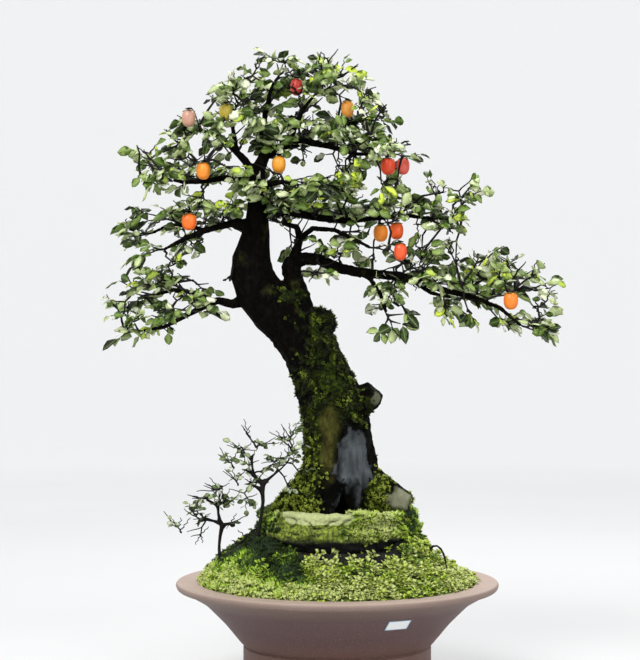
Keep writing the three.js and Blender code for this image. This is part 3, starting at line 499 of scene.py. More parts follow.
# Polypropylene: moulded mesh, matt black with a faint moulding grain
def meshMaterial():
    stops = [(0, "#111211"), (1, "#262826")]
    return grainyMaterial("polypropyleneMoulded", {"Roughness": 0.5}, stops, 6, 0.8, 0.1)


# Young bark: thin, black-brown and faintly shiny, knobbled where leaves have dropped
def twigMaterial():
    look = {"Roughness": 0.7, "Specular IOR Level": 0.2}
    stops = [(0.3, "#060504"), (0.6, "#120F0C"), (0.85, "#2E271F")]
    return grainyMaterial("persimmonTwigs", look, stops, 5, 1.5, 0.4)


# Calyx: four leathery lobes that dry from green to brown
def calyxMaterial():
    stops = [(0.3, "#35401C"), (0.6, "#5A5A2A"), (0.85, "#7A6236")]
    return grainyMaterial("persimmonCalyx", {"Roughness": 0.6}, stops, 5, 1.5, 0.3)


# Persimmon bark: near black, cracked into small plates, with moss and bared wood low down
barkTones = {
    "bark": [(0.2, "#020202"), (0.5, "#070605"), (0.75, "#14120E"), (1, "#332D24")],
    "rust": [(0.2, "#1B1B0B"), (0.5, "#403F1C"), (0.8, "#5F5E2E"), (1, "#727044")],
    "bared": [(0.2, "#282B2C"), (0.45, "#3E4245"), (0.65, "#54595C"), (0.85, "#696E70")],
    "sawn": [(0.2, "#5C5D4C"), (0.6, "#7F816A"), (1, "#9A9B80")],
    "moss": [(0.25, "#060802"), (0.5, "#141B07"), (0.7, "#36440F"), (0.9, "#6C7E22")],
}


def barkMaterial():
    look = {"Roughness": 0.85, "Specular IOR Level": 0.03}
    material, tree, surface, place = newMaterial("persimmonBark", look)
    drawn = addNode(tree, "ShaderNodeMapping", inputs={"Vector": place, "Scale": (1, 1, 0.45)})
    plates = addNode(tree, "ShaderNodeTexNoise", inputs=grains(drawn, 7, 4, 0.7))
    fine = addNode(tree, "ShaderNodeTexNoise", inputs=grains(place, 2.2))
    broad = addNode(tree, "ShaderNodeTexNoise", inputs=grains(place, 24, 4))
    fibred = addNode(tree, "ShaderNodeMapping", inputs={"Vector": place, "Scale": (1, 1, 0.3)})
    streaks = addNode(tree, "ShaderNodeTexNoise", inputs=grains(fibred, 13, 4, 0.6))
    finer = addNode(tree, "ShaderNodeMath", times, {0: fine, 1: 0.5})
    cushions = addNode(tree, "ShaderNodeMath", timesPlus, {0: broad, 1: 0.6, 2: finer})
    patterns = {"bark": plates, "rust": plates, "bared": streaks, "sawn": streaks, "moss": cushions}
    tints = {
        name: addNode(tree, "ShaderNodeValToRGB", {"stops": barkTones[name]}, {0: pattern})
        for name, pattern in patterns.items()
    }
    rust, bared, moss, sawn, shade = fieldsOf(tree, "rust", "bared", "moss", "sawn", "shade")
    layers = [
        (ragged(tree, rust, broad, 0.45), tints["rust"]),
        (ragged(tree, bared, broad, 0.14), tints["bared"]),
        (ragged(tree, moss, plates, 0.2), tints["moss"]),
        (sawn, tints["sawn"]),
        (shade, "#040403"),
    ]
    colour = tints["bark"]
    for amount, tint in layers:
        colour = addNode(tree, "ShaderNodeMix", rgb, {0: amount, 6: colour, 7: tint})
    relief = addNode(tree, "ShaderNodeMath", timesPlus, {0: plates, 1: 0.7, 2: fine})
    surfaced(tree, surface, colour, relief, 1.6)
    return material


# Persimmon leaf: leathery, waxed above so that it mirrors the sky, with a paler midrib
def leafMaterial(name, stops, roughness):
    look = {"Roughness": roughness, "IOR": 1.45, "Specular IOR Level": 0.35}
    material, tree, surface, place = newMaterial(name, look)
    (tone,) = fieldsOf(tree, "tone")
    tint = addNode(tree, "ShaderNodeValToRGB", {"stops": stops}, {0: tone})
    chart = addNode(tree, "ShaderNodeUVMap", {"uv_map": "blade"})
    across = addNode(tree, "ShaderNodeSeparateXYZ", inputs={0: chart}).outputs["X"]
    away = addNode(tree, "ShaderNodeMath", {"operation": "SUBTRACT"}, {0: across, 1: 0.5})
    side = addNode(tree, "ShaderNodeMath", {"operation": "ABSOLUTE"}, {0: away})
    ribWidth = [(0, "#FFFFFF"), (0.045, "#000000")]
    rib = addNode(tree, "ShaderNodeValToRGB", {"stops": ribWidth}, {0: side})
    ribShare = addNode(tree, "ShaderNodeMath", times, {0: rib, 1: 0.45})
    ribbed = addNode(tree, "ShaderNodeMix", rgb, {0: ribShare, 6: tint, 7: "#B9C98A"})
    # Painted shade: a dark margin round each leaf stands for the shade between leaves
    shadeMarginWidth = [(0.3, "#000000"), (0.46, "#FFFFFF")]
    margin = addNode(tree, "ShaderNodeValToRGB", {"stops": shadeMarginWidth}, {0: side})
    marginShadeShare = addNode(tree, "ShaderNodeMath", times, {0: margin, 1: 0.55})
    edged = addNode(tree, "ShaderNodeMix", rgb, {0: marginShadeShare, 6: ribbed, 7: "#16220A"})
    mottle = addNode(tree, "ShaderNodeTexNoise", inputs=grains(place, 5, 2))
    faint = addNode(tree, "ShaderNodeMath", times, {0: mottle, 1: 0.15})
    mottled = addNode(tree, "ShaderNodeMix", rgb, {0: faint, 6: edged, 7: "#2A3F1C"})
    relief = addNode(tree, "ShaderNodeMath", plus, {0: mottle, 1: rib})
    surfaced(tree, surface, mottled, relief, 0.5)
    return material


# Leaf tones from dark to pale. From 0.6 to 0.79 they are painted sheen, near white for the sky's
# reflection, and from 0.84 up they are painted light shining through the leaves, yellow-green
persimmonTones = [
    (0, "#121A08"),
    (0.2, "#2F4018"),
    (0.36, "#5C7A2A"),
    (0.5, "#93AA5C"),
    (0.6, "#D0DCA6"),
    (0.68, "#F6FAE2"),
    (0.79, "#EEF4CC"),
    (0.84, "#A9C352"),
    (1, "#D5E84C"),
]
saplingTones = [(0, "#141C0A"), (0.4, "#526634"), (0.7, "#9AAA7A"), (1, "#DCE4C4")]


# Persimmon skin: smooth and waxy, yellow to red as it ripens, with a faint bloom on it
def fruitMaterial(name, unripe, ripe):
    look = {"Roughness": 0.32, "IOR": 1.45, "Subsurface Weight": 0.15, "Subsurface Scale": 0.004}
    look["Subsurface Radius"] = (1, 0.4, 0.1)
    material, tree, surface, place = newMaterial(name, look)
    patches = addNode(tree, "ShaderNodeTexNoise", inputs=grains(place, 14))
    blush = addNode(tree, "ShaderNodeMix", rgb, {0: patches, 6: unripe, 7: ripe})
    dust = addNode(tree, "ShaderNodeTexNoise", inputs=grains(place, 2.5, 2))
    stops = [(0.62, "#000000"), (0.8, "#FFFFFF")]
    bloom = addNode(tree, "ShaderNodeValToRGB", {"stops": stops}, {0: dust})
    faint = addNode(tree, "ShaderNodeMath", times, {0: bloom, 1: 0.18})
    skin = addNode(tree, "ShaderNodeMix", rgb, {0: faint, 6: blush, 7: "#F6D8B4"})
    pores = addNode(tree, "ShaderNodeTexNoise", inputs=grains(place, 1.2, 2))
    surfaced(tree, surface, skin, pores, 0.08)
    return material


# Moss and small leaves: painted shade darkens the foot of each blade, and they are bright where the
# light strikes
def coverMaterial(name, stops, foot):
    look = {"Roughness": 0.6, "Specular IOR Level": 0.25}
    material, tree, surface, place = newMaterial(name, look)
    (tone,) = fieldsOf(tree, "tone")
    tint = addNode(tree, "ShaderNodeValToRGB", {"stops": stops}, {0: tone})
    chart = addNode(tree, "ShaderNodeUVMap", {"uv_map": "blade"})
    along = addNode(tree, "ShaderNodeSeparateXYZ", inputs={0: chart}).outputs["Y"]
    # Painted shade: each blade darkens towards its foot
    low = addNode(tree, "ShaderNodeMath", minus, {0: 1, 1: along})
    shaded = addNode(tree, "ShaderNodeMix", rgb, {0: low, 6: tint, 7: foot})
    mottle = addNode(tree, "ShaderNodeTexNoise", inputs=grains(place, 3))
    faint = addNode(tree, "ShaderNodeMath", times, {0: mottle, 1: 0.25})
    mottled = addNode(tree, "ShaderNodeMix", rgb, {0: faint, 6: shaded, 7: foot})
    surfaced(tree, surface, mottled)
    return material


# The mat under moss and leaves: old brown shoots, brighter where random patches and the painted
# light in 'glow' are high, and near black in painted shade
def matMaterial():
    material, tree, surface, place = newMaterial("mossMat", {"Roughness": 0.95})
    fine = addNode(tree, "ShaderNodeTexNoise", inputs=grains(place, 3.5, 4, 0.7))
    patches = addNode(tree, "ShaderNodeTexNoise", inputs=grains(place, 30))
    old = [(0.3, "#141C08"), (0.55, "#34481A"), (0.8, "#5C7828")]
    young = [(0.3, "#3A4C14"), (0.55, "#7E9C34"), (0.8, "#B4CC5A")]
    dark = addNode(tree, "ShaderNodeValToRGB", {"stops": old}, {0: fine})
    bright = addNode(tree, "ShaderNodeValToRGB", {"stops": young}, {0: fine})
    glow, shade = fieldsOf(tree, "glow", "shade")
    lit = addNode(tree, "ShaderNodeMath", plus, {0: patches, 1: glow})
    tint = addNode(tree, "ShaderNodeMix", rgb, {0: lit, 6: dark, 7: bright})
    shaded = addNode(tree, "ShaderNodeMix", rgb, {0: shade, 6: tint, 7: "#040503"})
    surfaced(tree, surface, shaded, fine, 3)
    return material


# Limestone: split in layers, paler along the top of its lip, with algae and moss in every hollow
def rockMaterial():
    material, tree, surface, place = newMaterial("mossyLimestone", {"Roughness": 0.9})
    fine = addNode(tree, "ShaderNodeTexNoise", inputs=grains(place, 4, 4, 0.65))
    flat = addNode(tree, "ShaderNodeMapping", inputs={"Vector": place, "Scale": (0.5, 0.5, 1.6)})
    layers = addNode(tree, "ShaderNodeTexNoise", inputs=grains(flat, 16, 4, 0.6))
    paleLip = [(0.2, "#848C56"), (0.5, "#B2BA80"), (0.85, "#CCD2A2")]
    green = [(0.25, "#161E05"), (0.42, "#46541A"), (0.58, "#84942C"), (0.8, "#BAC856")]
    stone = addNode(tree, "ShaderNodeValToRGB", {"stops": paleLip}, {0: fine})
    algae = addNode(tree, "ShaderNodeValToRGB", {"stops": green}, {0: fine})
    lip, shade = fieldsOf(tree, "lip", "shade")
    bare = ragged(tree, lip, layers, 0.15)
    colour = addNode(tree, "ShaderNodeMix", rgb, {0: bare, 6: algae, 7: stone})
    shaded = addNode(tree, "ShaderNodeMix", rgb, {0: shade, 6: colour, 7: "#070805"})
    relief = addNode(tree, "ShaderNodeMath", timesPlus, {0: layers, 1: 0.6, 2: fine})
    surfaced(tree, surface, shaded, relief, 2.5)
    return material


# Label: coated paper, blank, with a printed blue line round its edge
def paperMaterial():
    material, tree, surface, place = newMaterial("coatedPaper", {"Roughness": 0.4})
    chart = addNode(tree, "ShaderNodeUVMap", {"uv_map": "blade"})
    split = addNode(tree, "ShaderNodeSeparateXYZ", inputs={0: chart})
    inward = {"operation": "PINGPONG", "use_clamp": True}
    wide = addNode(tree, "ShaderNodeMath", inward, {0: split.outputs["X"], 1: 0.5})
    high = addNode(tree, "ShaderNodeMath", inward, {0: split.outputs["Y"], 1: 0.5})
    even = addNode(tree, "ShaderNodeMath", times, {0: wide, 1: 1.7})
    edge = addNode(tree, "ShaderNodeMath", {"operation": "MINIMUM"}, {0: even, 1: high})
    stops = [(0, "#8FB9D6"), (0.05, "#9CC3DC"), (0.07, "#F1F5F6")]
    tint = addNode(tree, "ShaderNodeValToRGB", {"stops": stops}, {0: edge})
    fibre = addNode(tree, "ShaderNodeTexNoise", inputs=grains(place, 1.5))
    faint = addNode(tree, "ShaderNodeMath", times, {0: fibre, 1: 0.08})
    fibres = addNode(tree, "ShaderNodeMix", rgb, {0: faint, 6: tint, 7: "#B9C2C6"})
    relief = addNode(tree, "ShaderNodeTexNoise", inputs=grains(place, 2))
    surfaced(tree, surface, fibres, relief, 0.05)
    return material


# Studio


# A round sweep, lit from behind far out, so that every side has the same ground
studio = {
    "sky": "#F4F6F8",
    "skyLight": 0.79,
    "rings": (0, 800, 1600, 2400, 3600),  # radii of the flat floor in mm
    "bendStart": 4500,
    "bendRadius": 3000,
    "bendSteps": 16,
    "wallTop": 5000,
    "segments": 96,
    "paper": [(0, "#CCCCCC"), (0.4, "#E0E0E0")],
    "backlight": [(0, "#000000"), (0.3, "#4E4E4E"), (0.7, "#868686")],
    "near": 0.8,  # metres from the pot's axis where the backlight starts, and where it is full
    "far": 6,
    "aim": Vector((-0.03, 0, 0.5)),
    "lamps": {
        "key": {"place": (-1.1, -1.7, 2.3), "size": 1.6, "watts": 56},
        "fill": {"place": (1.5, -2.2, 1.2), "size": 2.0, "watts": 20},
        "crest": {"place": (0.5, 1.0, 2.2), "size": 1.4, "watts": 30},
    },
}


def sweepProfile():
    start, radius = studio["bendStart"], studio["bendRadius"]
    turns = np.linspace(0, math.pi / 2, studio["bendSteps"])
    bend = [(start + radius * math.sin(a), radius - radius * math.cos(a)) for a in turns]
    return [*((ring, 0) for ring in studio["rings"]), *bend, (start + radius, studio["wallTop"])]


def sweepMaterial():
    material, tree, surface, place = newMaterial("paperSweep", {"Roughness": 0.9})
    away = addNode(tree, "ShaderNodeVectorMath", {"operation": "LENGTH"}, {0: place}).outputs[1]
    reach = {"Value": away, "From Min": studio["near"], "From Max": studio["far"]}
    far = addNode(tree, "ShaderNodeMapRange", inputs=reach)
    clouds = addNode(tree, "ShaderNodeTexNoise", inputs=grains(place, 400, 1))
    cloudy = addNode(tree, "ShaderNodeMath", timesPlus, {0: clouds, 1: 0.05, 2: far})
    tint = addNode(tree, "ShaderNodeValToRGB", {"stops": studio["paper"]}, {0: cloudy})
    lit = addNode(tree, "ShaderNodeValToRGB", {"stops": studio["backlight"]}, {0: cloudy})
    tree.links.new(lit.outputs["Color"], surface.inputs["Emission Color"])
    surface.inputs["Emission Strength"].default_value = 1
    surfaced(tree, surface, tint)
    return material


def makeStudio():
    world = bpy.data.worlds.new("studio")
    world.use_nodes = True
    sky = world.node_tree.nodes["Background"].inputs
    sky["Color"].default_value = linear(studio["sky"])
    sky["Strength"].default_value = studio["skyLight"]
    bpy.context.scene.world = world
    bpy.context.scene.view_settings.view_transform = "Standard"
    floor = newPiece("backdrop", latheMesh("backdrop", sweepProfile(), studio["segments"]))
    floor.data.materials.append(sweepMaterial())
    for name, lamp in studio["lamps"].items():
        light = bpy.data.lights.new(name, "AREA")
        light.shape = "DISK"
        light.size = lamp["size"]
        light.energy = lamp["watts"]
        holder = bpy.data.objects.new(name, light)
        holder.location = lamp["place"]
        aim = studio["aim"] - holder.location
        holder.rotation_euler = aim.to_track_quat("-Z", "Y").to_euler()
        bpy.context.scene.collection.objects.link(holder)
    print("studio:", len(studio["lamps"]), "lamps")


# Shapes that repeat

# How far along a blade, then its width there
leafRows = [
    (0, 0.06),
    (0.12, 0.08),
    (0.3, 0.72),
    (0.52, 1),
    (0.79, 0.74),
    (1, 0),
]
leafForms = {
    "flat": {"cup": 0.16, "droop": 0.1, "wave": 0.02},
    "cupped": {"cup": 0.34, "droop": 0.22, "wave": -0.03},
    "curled": {"cup": -0.12, "droop": 0.38, "wave": 0.05},
}


# A blade of unit length and width along +Y that faces +Z: closed, thickest at the midrib
def bladeMesh(name, rows, cup=0.1, droop=0.1, wave=0, thick=0.013):
    points, faces, chart = [], [], []
    for k, (along, half) in enumerate(rows):
        sag = -droop * along * along
        edge = sag + cup * half * 0.5 + wave * (1 if k % 2 else -1) * half
        body = thick if half else 0
        ring = [(-half / 2, edge), (0, sag + body), (half / 2, edge), (0, sag - body)]
        points += [(x, along, z) for x, z in ring]
        chart += [(0.5 + x, along) for x, z in ring]
    for k in range(len(rows) - 1):
        low, high = 4 * k, 4 * k + 4
        for side in range(4):
            turn = (side + 1) % 4
            faces.append((low + side, high + side, high + turn, low + turn))
    faces.append((0, 1, 2, 3))
    mesh = meshOf(name, points, faces)
    writeChart(mesh, chart)
    bm = bmesh.new()
    bm.from_mesh(mesh)
    bmesh.ops.remove_doubles(bm, verts=bm.verts, dist=weld)
    bmesh.ops.recalc_face_normals(bm, faces=bm.faces)
    bm.to_mesh(mesh)
    bm.free()
    mesh.shade_smooth()
    return mesh


def writeChart(mesh, chart):
    layer = mesh.uv_layers.new(name="blade")
    for loop in mesh.loops:
        layer.data[loop.index].uv = chart[loop.vertex_index]


def shapeSet(name, meshes):
    shelf = bpy.data.collections.new(name)
    for mesh in meshes:
        shelf.objects.link(bpy.data.objects.new(mesh.name, mesh))
    return shelf


# Tufts and sprigs are built from small closed blades, turned about the foot
def clump(name, blades):
    bm = bmesh.new()
    for blade, turn, place, size in blades:
        start = len(bm.verts)
        bm.from_mesh(blade)
        bm.verts.ensure_lookup_table()
        for vert in bm.verts[start:]:
            scaled = Vector([vert.co[i] * size[i] for i in range(3)])
            vert.co = place + turn @ scaled
    mesh = bpy.data.meshes.new(name)
    bm.to_mesh(mesh)
    bm.free()
    mesh.shade_smooth()
    return mesh


def axesTurn(heading, facing):
    along = heading.normalized()
    across = along.cross(facing).normalized()
    normal = across.cross(along)
    return Matrix((across, along, normal)).transposed()


# Draws a profile again with its corners rounded. Each corner is [radius, height, softness].
def rounded(corners, steps=4):
    line = []
    for k, (x, z, soft) in enumerate(corners):
        here = Vector((x, z))
        if not soft:
            line.append(here)
            continue
        before = Vector(corners[k - 1][:2]) - here
        after = Vector(corners[k + 1][:2]) - here
        start = here + before.normalized() * min(soft, before.length * 0.45)
        end = here + after.normalized() * min(soft, after.length * 0.45)
        for i in range(steps + 1):
            t = i / steps
            line.append(start.lerp(here, t).lerp(here.lerp(end, t), t))
    return line


# A closed form turned round Z from a profile in mm whose ends lie on the axis
def latheMesh(name, line, segments, shape=None):
    points, faces, rings = [], [], []
    for x, z in line:
        if x < 1e-6:
            rings.append([len(points)] * segments)
            points.append(Vector((0, 0, z)) * mm)
            continue
        rings.append(list(range(len(points), len(points) + segments)))
        for k in range(segments):
            angle = math.tau * k / segments
            reach = x * (shape(angle, z) if shape else 1)
            points.append(Vector((reach * math.cos(angle), reach * math.sin(angle), z)) * mm)
    for low, high in zip(rings, rings[1:]):
        for k in range(segments):
            turn = (k + 1) % segments
            corners = [low[k], low[turn], high[turn], high[k]]
            faces.append(list(dict.fromkeys(corners)))
    mesh = meshOf(name, points, faces)
    outward(mesh)
    mesh.shade_smooth()
    return mesh


def outward(mesh):
    bm = bmesh.new()
    bm.from_mesh(mesh)
    bmesh.ops.recalc_face_normals(bm, faces=bm.faces)
    bm.to_mesh(mesh)
    bm.free()


makeStudio()


# Pot

pot = {
    # radius, height and softness of each corner, in mm
    "profile": [
        (0, 0, 0),
        (128, 0, 1.5),
        (131, 4, 1.5),
        (131, 60, 0.8),
        (128.5, 62, 0.5),
        (135, 67, 2),
        (158, 95, 6),
        (185, 122, 7),
        (209, 136, 5),
        (223, 141, 2.5),
        (225, 147, 2),
        (223, 150, 1.2),
        (193, 150, 1.2),
        (189, 143, 3),
        (156, 112, 9),
        (121, 70, 8),
        (119, 12, 3),
        (0, 12, 0),
    ],
    "segments": 168,
    "drains": 3,
    "drainCircle": 58,
    "drainRadius": 9,
    "drainReach": (-9, 21),  # heights that a drain's cutter spans
    "drainSegments": 32,
}


def makePot():
    piece = newPiece("potClay", latheMesh("potClay", rounded(pot["profile"]), pot["segments"]))
    for k in range(pot["drains"]):
        angle = math.tau * (k / pot["drains"] + 0.25)
        reach = pot["drainCircle"]
        radius = pot["drainRadius"]
        low, high = pot["drainReach"]
        rodLine = [(0, low), (radius, low), (radius, high), (0, high)]
        rod = latheMesh("rod", rodLine, pot["drainSegments"])
        cutter = newPiece("cutter", rod)
        away = Vector((reach * math.cos(angle), reach * math.sin(angle), 0)) * mm
        cutter.data.transform(Matrix.Translation(away))
        hole = piece.modifiers.new("Drain", "BOOLEAN")
        hole.object = cutter
        settled(piece)
        bpy.data.objects.remove(cutter)
    piece.data.materials.clear()
    piece.data.materials.append(stonewareMaterial())
    finish(piece, "clay", "pot")


makePot()

label = {
    "length": 33,
    "width": 19,
    "lifts": (0.5, 0.12),  # mm of its face and back off the clay
    "height": 113.5,
    "angle": -63.7,  # degrees round the pot
    "columns": 24,
    "rows": 12,
}
cone = {"radius": 158, "height": 95}  # the flare leaves the drum here at 45 degrees


def makeLabel():
    columns, rows = label["columns"], label["rows"]
    points, faces, chart = [], [], []
    half = math.sqrt(0.5)
    for lift in label["lifts"]:
        for j in range(rows + 1):
            for i in range(columns + 1):
                u, v = i / columns - 0.5, j / rows - 0.5
                z = label["height"] + v * label["width"] * half
                radius = cone["radius"] + z - cone["height"] + lift * half
                angle = math.radians(label["angle"]) + u * label["length"] / radius
                z -= lift * half
                points.append(Vector((radius * math.cos(angle), radius * math.sin(angle), z)) * mm)
                chart.append((u + 0.5, v + 0.5))
    layer = (columns + 1) * (rows + 1)
    for j in range(rows):
        for i in range(columns):
            a = j * (columns + 1) + i
            b = a + columns + 1
            faces.append((a, a + 1, b + 1, b))
            faces.append((layer + b, layer + b + 1, layer + a + 1, layer + a))
    brim = list(range(columns))
    brim += [j * (columns + 1) + columns for j in range(rows)]
    brim += [layer - 1 - i for i in range(columns)]
    brim += [(rows - j) * (columns + 1) for j in range(rows)]
    for k, a in enumerate(brim):
        b = brim[(k + 1) % len(brim)]
        faces.append((a, layer + a, layer + b, b))
    piece = newPiece("potLabel", meshOf("potLabel", points, faces))
    writeChart(piece.data, chart)
    outward(piece.data)
    piece.data.shade_smooth()
    piece.data.materials.append(paperMaterial())
    finish(piece, "label", "pot_label")


makeLabel()

for node, material in {"soil": soilMaterial(), "drain_screen": meshMaterial()}.items():
    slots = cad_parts[node].data.materials
    slots.clear()
    slots.append(material)
print("pot: done")


# Rock

hilly = (0.9, 2.1)  # how rough fractal noise is, and how much finer each octave
rock = {
    "voxel": 2.3 * mm,
    "smoothing": 3,
    "swell": 0.4 * mm,
    # depth and size of each relief in mm
    "strata": (4.5, 60),
    "boulders": (5, 48),
    "pits": (2.2, 11),
    "cracks": 4.5,
    "sunk": 0.8,
    "brow": 5,  # straightens the lip in front
    "browAhead": (-45, -85),
    "browAcross": (-30, 80),
    # where a finish starts and where it is full, in mm
    "lipUp": (235, 242),
    "lipRight": (34, 8),
    "lipLeft": (-84, -64),
    "lipAhead": (40, -60),
    "foot": (222, 211),
    "mossRight": ((2, 22), (212, 222)),
    "mossLeft": ((-78, -94), (214, 226)),
    "mossBack": ((20, 50), (226, 238)),
    "glowRight": (96, 70),
    "glow": 0.7,
    "dim": 0.3,
    "paleness": (0.95, 0.1),
}


def layered(p, size, flat):
    return noise.fractal(Vector((p.x / size, p.y / size, p.z * flat / size)), *hilly, 4)


def rockRelief(p, facing):
    side = 1 - abs(facing.z)
    (strata, strataSize), (boulders, boulderSize) = rock["strata"], rock["boulders"]
    pits, pitSize = rock["pits"]
    lumps = noise.fractal(Vector((p.x, p.y, p.z * 1.3)) / boulderSize, *hilly, 3)
    cracks = abs(noise.noise(Vector((p.x / 30 + 3, p.y / 30, p.z / 14))))
    split = rock["cracks"] * smoothstep(0.1, 0, cracks) * side
    push = strata * layered(p, strataSize, 4) * side + boulders * lumps * (0.3 + side)
    push += pits * layered(p, pitSize, 1.5) - split - rock["sunk"]
    brow = smoothstep(*rock["browAhead"], p.y) * hill(p.x, *rock["browAcross"])
    push += rock["brow"] * (brow * smoothstep(0.3, 0.8, facing.z))
    fray = 9 * noise.noise(p / 22) + 4 * noise.noise(p / 7)
    paleLip = smoothstep(*rock["lipUp"], p.z) * smoothstep(*rock["lipRight"], p.x + fray)
    paleLip *= smoothstep(*rock["lipLeft"], p.x + fray) * smoothstep(*rock["lipAhead"], p.y)
    foot = smoothstep(*rock["foot"], p.z + 0.5 * fray)
    (across, rise), moved = rock["mossRight"], p.x + 1.5 * fray
    right = smoothstep(*across, moved) * smoothstep(*rise, p.z + fray)
    across, rise = rock["mossLeft"]
    left = smoothstep(*across, p.x + fray) * smoothstep(*rise, p.z + fray)
    behind, rise = rock["mossBack"]
    back = smoothstep(*behind, p.y) * smoothstep(*rise, p.z + fray)
    pale, least = rock["paleness"]
    return push, {
        "glow": rock["glow"] * right * smoothstep(*rock["glowRight"], p.x) - rock["dim"] * left,
        "lip": pale * paleLip + least,
        "shade": max(foot, 0.9 * smoothstep(0.09, 0, cracks) * side),
        "mossy": max(right, left, back) * (1 - paleLip),
    }


def makeRock():
    piece = fineCopy("rockStone", "rock", rock["voxel"], rock["smoothing"], rock["swell"])
    sculpt(piece.data, rockRelief)
    piece.data.materials.clear()
    piece.data.materials.append(rockMaterial())
    return finish(piece, "rock", "rock")


stone = makeRock()
print("rock: done")


# Trunk

trunk = {
    "voxel": 1.35 * mm,
    "smoothing": 5,
    "swell": 0.45 * mm,
    "keep": 0.42,  # share of the faces that stay
    # depth of each relief in mm
    "plates": 1.1,
    "cracks": 1.6,
    "lumps": 2.2,
    "groove": 5,
    "ridge": 2,
    "roots": 5,
    # where each finish shows: its middle and reach in mm
    "moss": [
        ((-22, -40, 440), (52, 60, 70)),
        ((-28, -20, 504), (44, 44, 32)),
        ((-68, -20, 548), (26, 40, 14)),
        ((20, -40, 392), (40, 40, 36)),
        ((-48, -30, 330), (44, 54, 80)),
        ((-62, -60, 262), (50, 50, 34)),
        ((54, -50, 280), (30, 44, 44)),
        ((20, 45, 330), (60, 34, 70)),
        ((-30, 40, 440), (40, 30, 60)),
        ((60, 10, 262), (40, 50, 22)),
    ],
    "bare": ((31, -52, 322), (42, 40, 53)),
    "rust": [((-10, -50, 372), (24, 40, 42)), ((-12, -52, 326), (16, 40, 46))],
    "sawn": ((86, -45, 265), (21, 80, 21)),
    "hollow": ((8, -58, 264), (46, 40, 34)),
    "stump": (Vector((66, -38, 402)), 16),  # middle and radius of the sawn stump
    # where roots cross the hollow: across and lean per mm above its foot, half width
    "hollowRoots": [(-16, 0.62, 7), (22, 0.2, 5)],
    "hollowFoot": 246,
    # heights in mm where something starts and where it is full
    "stout": (640, 560),
    "overhang": (436, 476),
    "mossFoot": (300, 252),
    "mossTop": (572, 552),
    "rootTop": (48, 36),
    "grooveFoot": (280, 300),
    "grooveTop": (372, 352),
    "flank": (360, 310),
    "crownShade": (340, 420),
    "rootLight": (330, 300),
    "thin": (270, 320),
    "dusk": (334, 372),
}


def spot(p, middle, reach):
    return math.exp(-sum(((p[i] - middle[i]) / reach[i]) ** 2 for i in range(3)))


def strongest(p, spots):
    return max(spot(p, middle, reach) for middle, reach in spots)


def trunkRelief(p, facing):
    stout = smoothstep(*trunk["stout"], p.z) * smoothstep(130, 90, abs(p.x + 20))
    edge = 0.22 * noise.noise(p / 15) + 0.14 * noise.noise(p / 5)
    torn = edge + 0.2 * noise.noise(p / 26)
    bared = smoothstep(0.25, 0.8, spot(p, *trunk["bare"]) + torn)
    bared *= smoothstep(0.2, -0.3, facing.y)
    rust = 0.8 * smoothstep(0.3, 0.9, strongest(p, trunk["rust"]) + edge) * (1 - bared)
    hollow = smoothstep(0.3, 0.75, spot(p, *trunk["hollow"]) + edge)
    under = smoothstep(-0.2, -0.6, facing.z + 0.5 * facing.x)
    under *= smoothstep(*trunk["overhang"], p.z)
    moss = (strongest(p, trunk["moss"]) + edge) * (1 - bared) * (1 - 0.5 * rust) * (1 - under)
    moss = max(moss, 0.75 * smoothstep(*trunk["mossFoot"], p.z))
    moss *= smoothstep(*trunk["mossTop"], p.z)
    stumpEnd, stumpRadius = trunk["stump"]
    stump = smoothstep(9, 4, (p - stumpEnd).length - stumpRadius)
    stump *= smoothstep(0.05, 0.4, facing.x)
    cut = smoothstep(0.4, 0.62, spot(p, *trunk["sawn"]) + edge) * smoothstep(0.85, 0.6, facing.z)
    rise = p.z - trunk["hollowFoot"]
    root = max(hill(p.x, x + lean * rise, half) for x, lean, half in trunk["hollowRoots"])
    root *= hollow * smoothstep(*trunk["rootTop"], rise) * smoothstep(0.1, -0.3, facing.y)
    plates = noise.fractal(Vector((p.x / 9, p.y / 9, p.z / 20)), 0.8, 2.1, 3)
    lumps = noise.fractal(p / 14, 0.9, 2.2, 3)
    cracks = abs(noise.noise(Vector((p.x / 12, p.y / 12, p.z / 34))))
    push = trunk["plates"] * plates - trunk["cracks"] * smoothstep(0.12, 0, cracks)
    push *= (0.35 + stout) * (1 - 0.85 * bared)
    push += trunk["lumps"] * lumps * stout * max(moss, 0.25) * (1 - bared)
    winding = 3 + 2 * math.sin(p.z / 17)
    groove = hill(p.x, winding, 3) * smoothstep(*trunk["grooveFoot"], p.z)
    depth = trunk["groove"] * groove * smoothstep(*trunk["grooveTop"], p.z)
    push -= depth * smoothstep(-0.2, -0.6, facing.y)
    winding = 31 + 3 * math.sin(p.z / 23)
    push += trunk["ridge"] * hill(p.x, winding, 6) * bared + trunk["roots"] * root
    flank = smoothstep(*trunk["flank"], p.z) * smoothstep(10, -30, p.x - facing.x * 20)
    rootLight = smoothstep(26, 66, p.x) * smoothstep(*trunk["rootLight"], p.z)
    thin = smoothstep(-0.06, -0.26, noise.noise(p / 8)) * smoothstep(*trunk["thin"], p.z)
    dusk = 0.8 * smoothstep(*trunk["dusk"], p.z) * bared
    dim = 0.22 * smoothstep(*trunk["crownShade"], p.z)
    return push, {
        "glow": 0.45 * flank - dim + 0.5 * rootLight,
        "moss": max(moss, 0) * (1 - hollow) * (1 - cut) * (1 - 0.6 * thin),
        "tufts": smoothstep(0.3, 0.62, moss) * (1 - hollow) * (1 - cut) * (1 - rust) * (1 - thin),
        # The root ridges in the hollow take half the bared-wood colour and less of its shade, as
        # painted light on them
        "bared": max(bared, 0.5 * root),
        "rust": rust,
        "sawn": max(0.62 * stump, cut),
        "shade": max(hollow * (1 - 0.7 * root), groove * bared, dusk),
    }


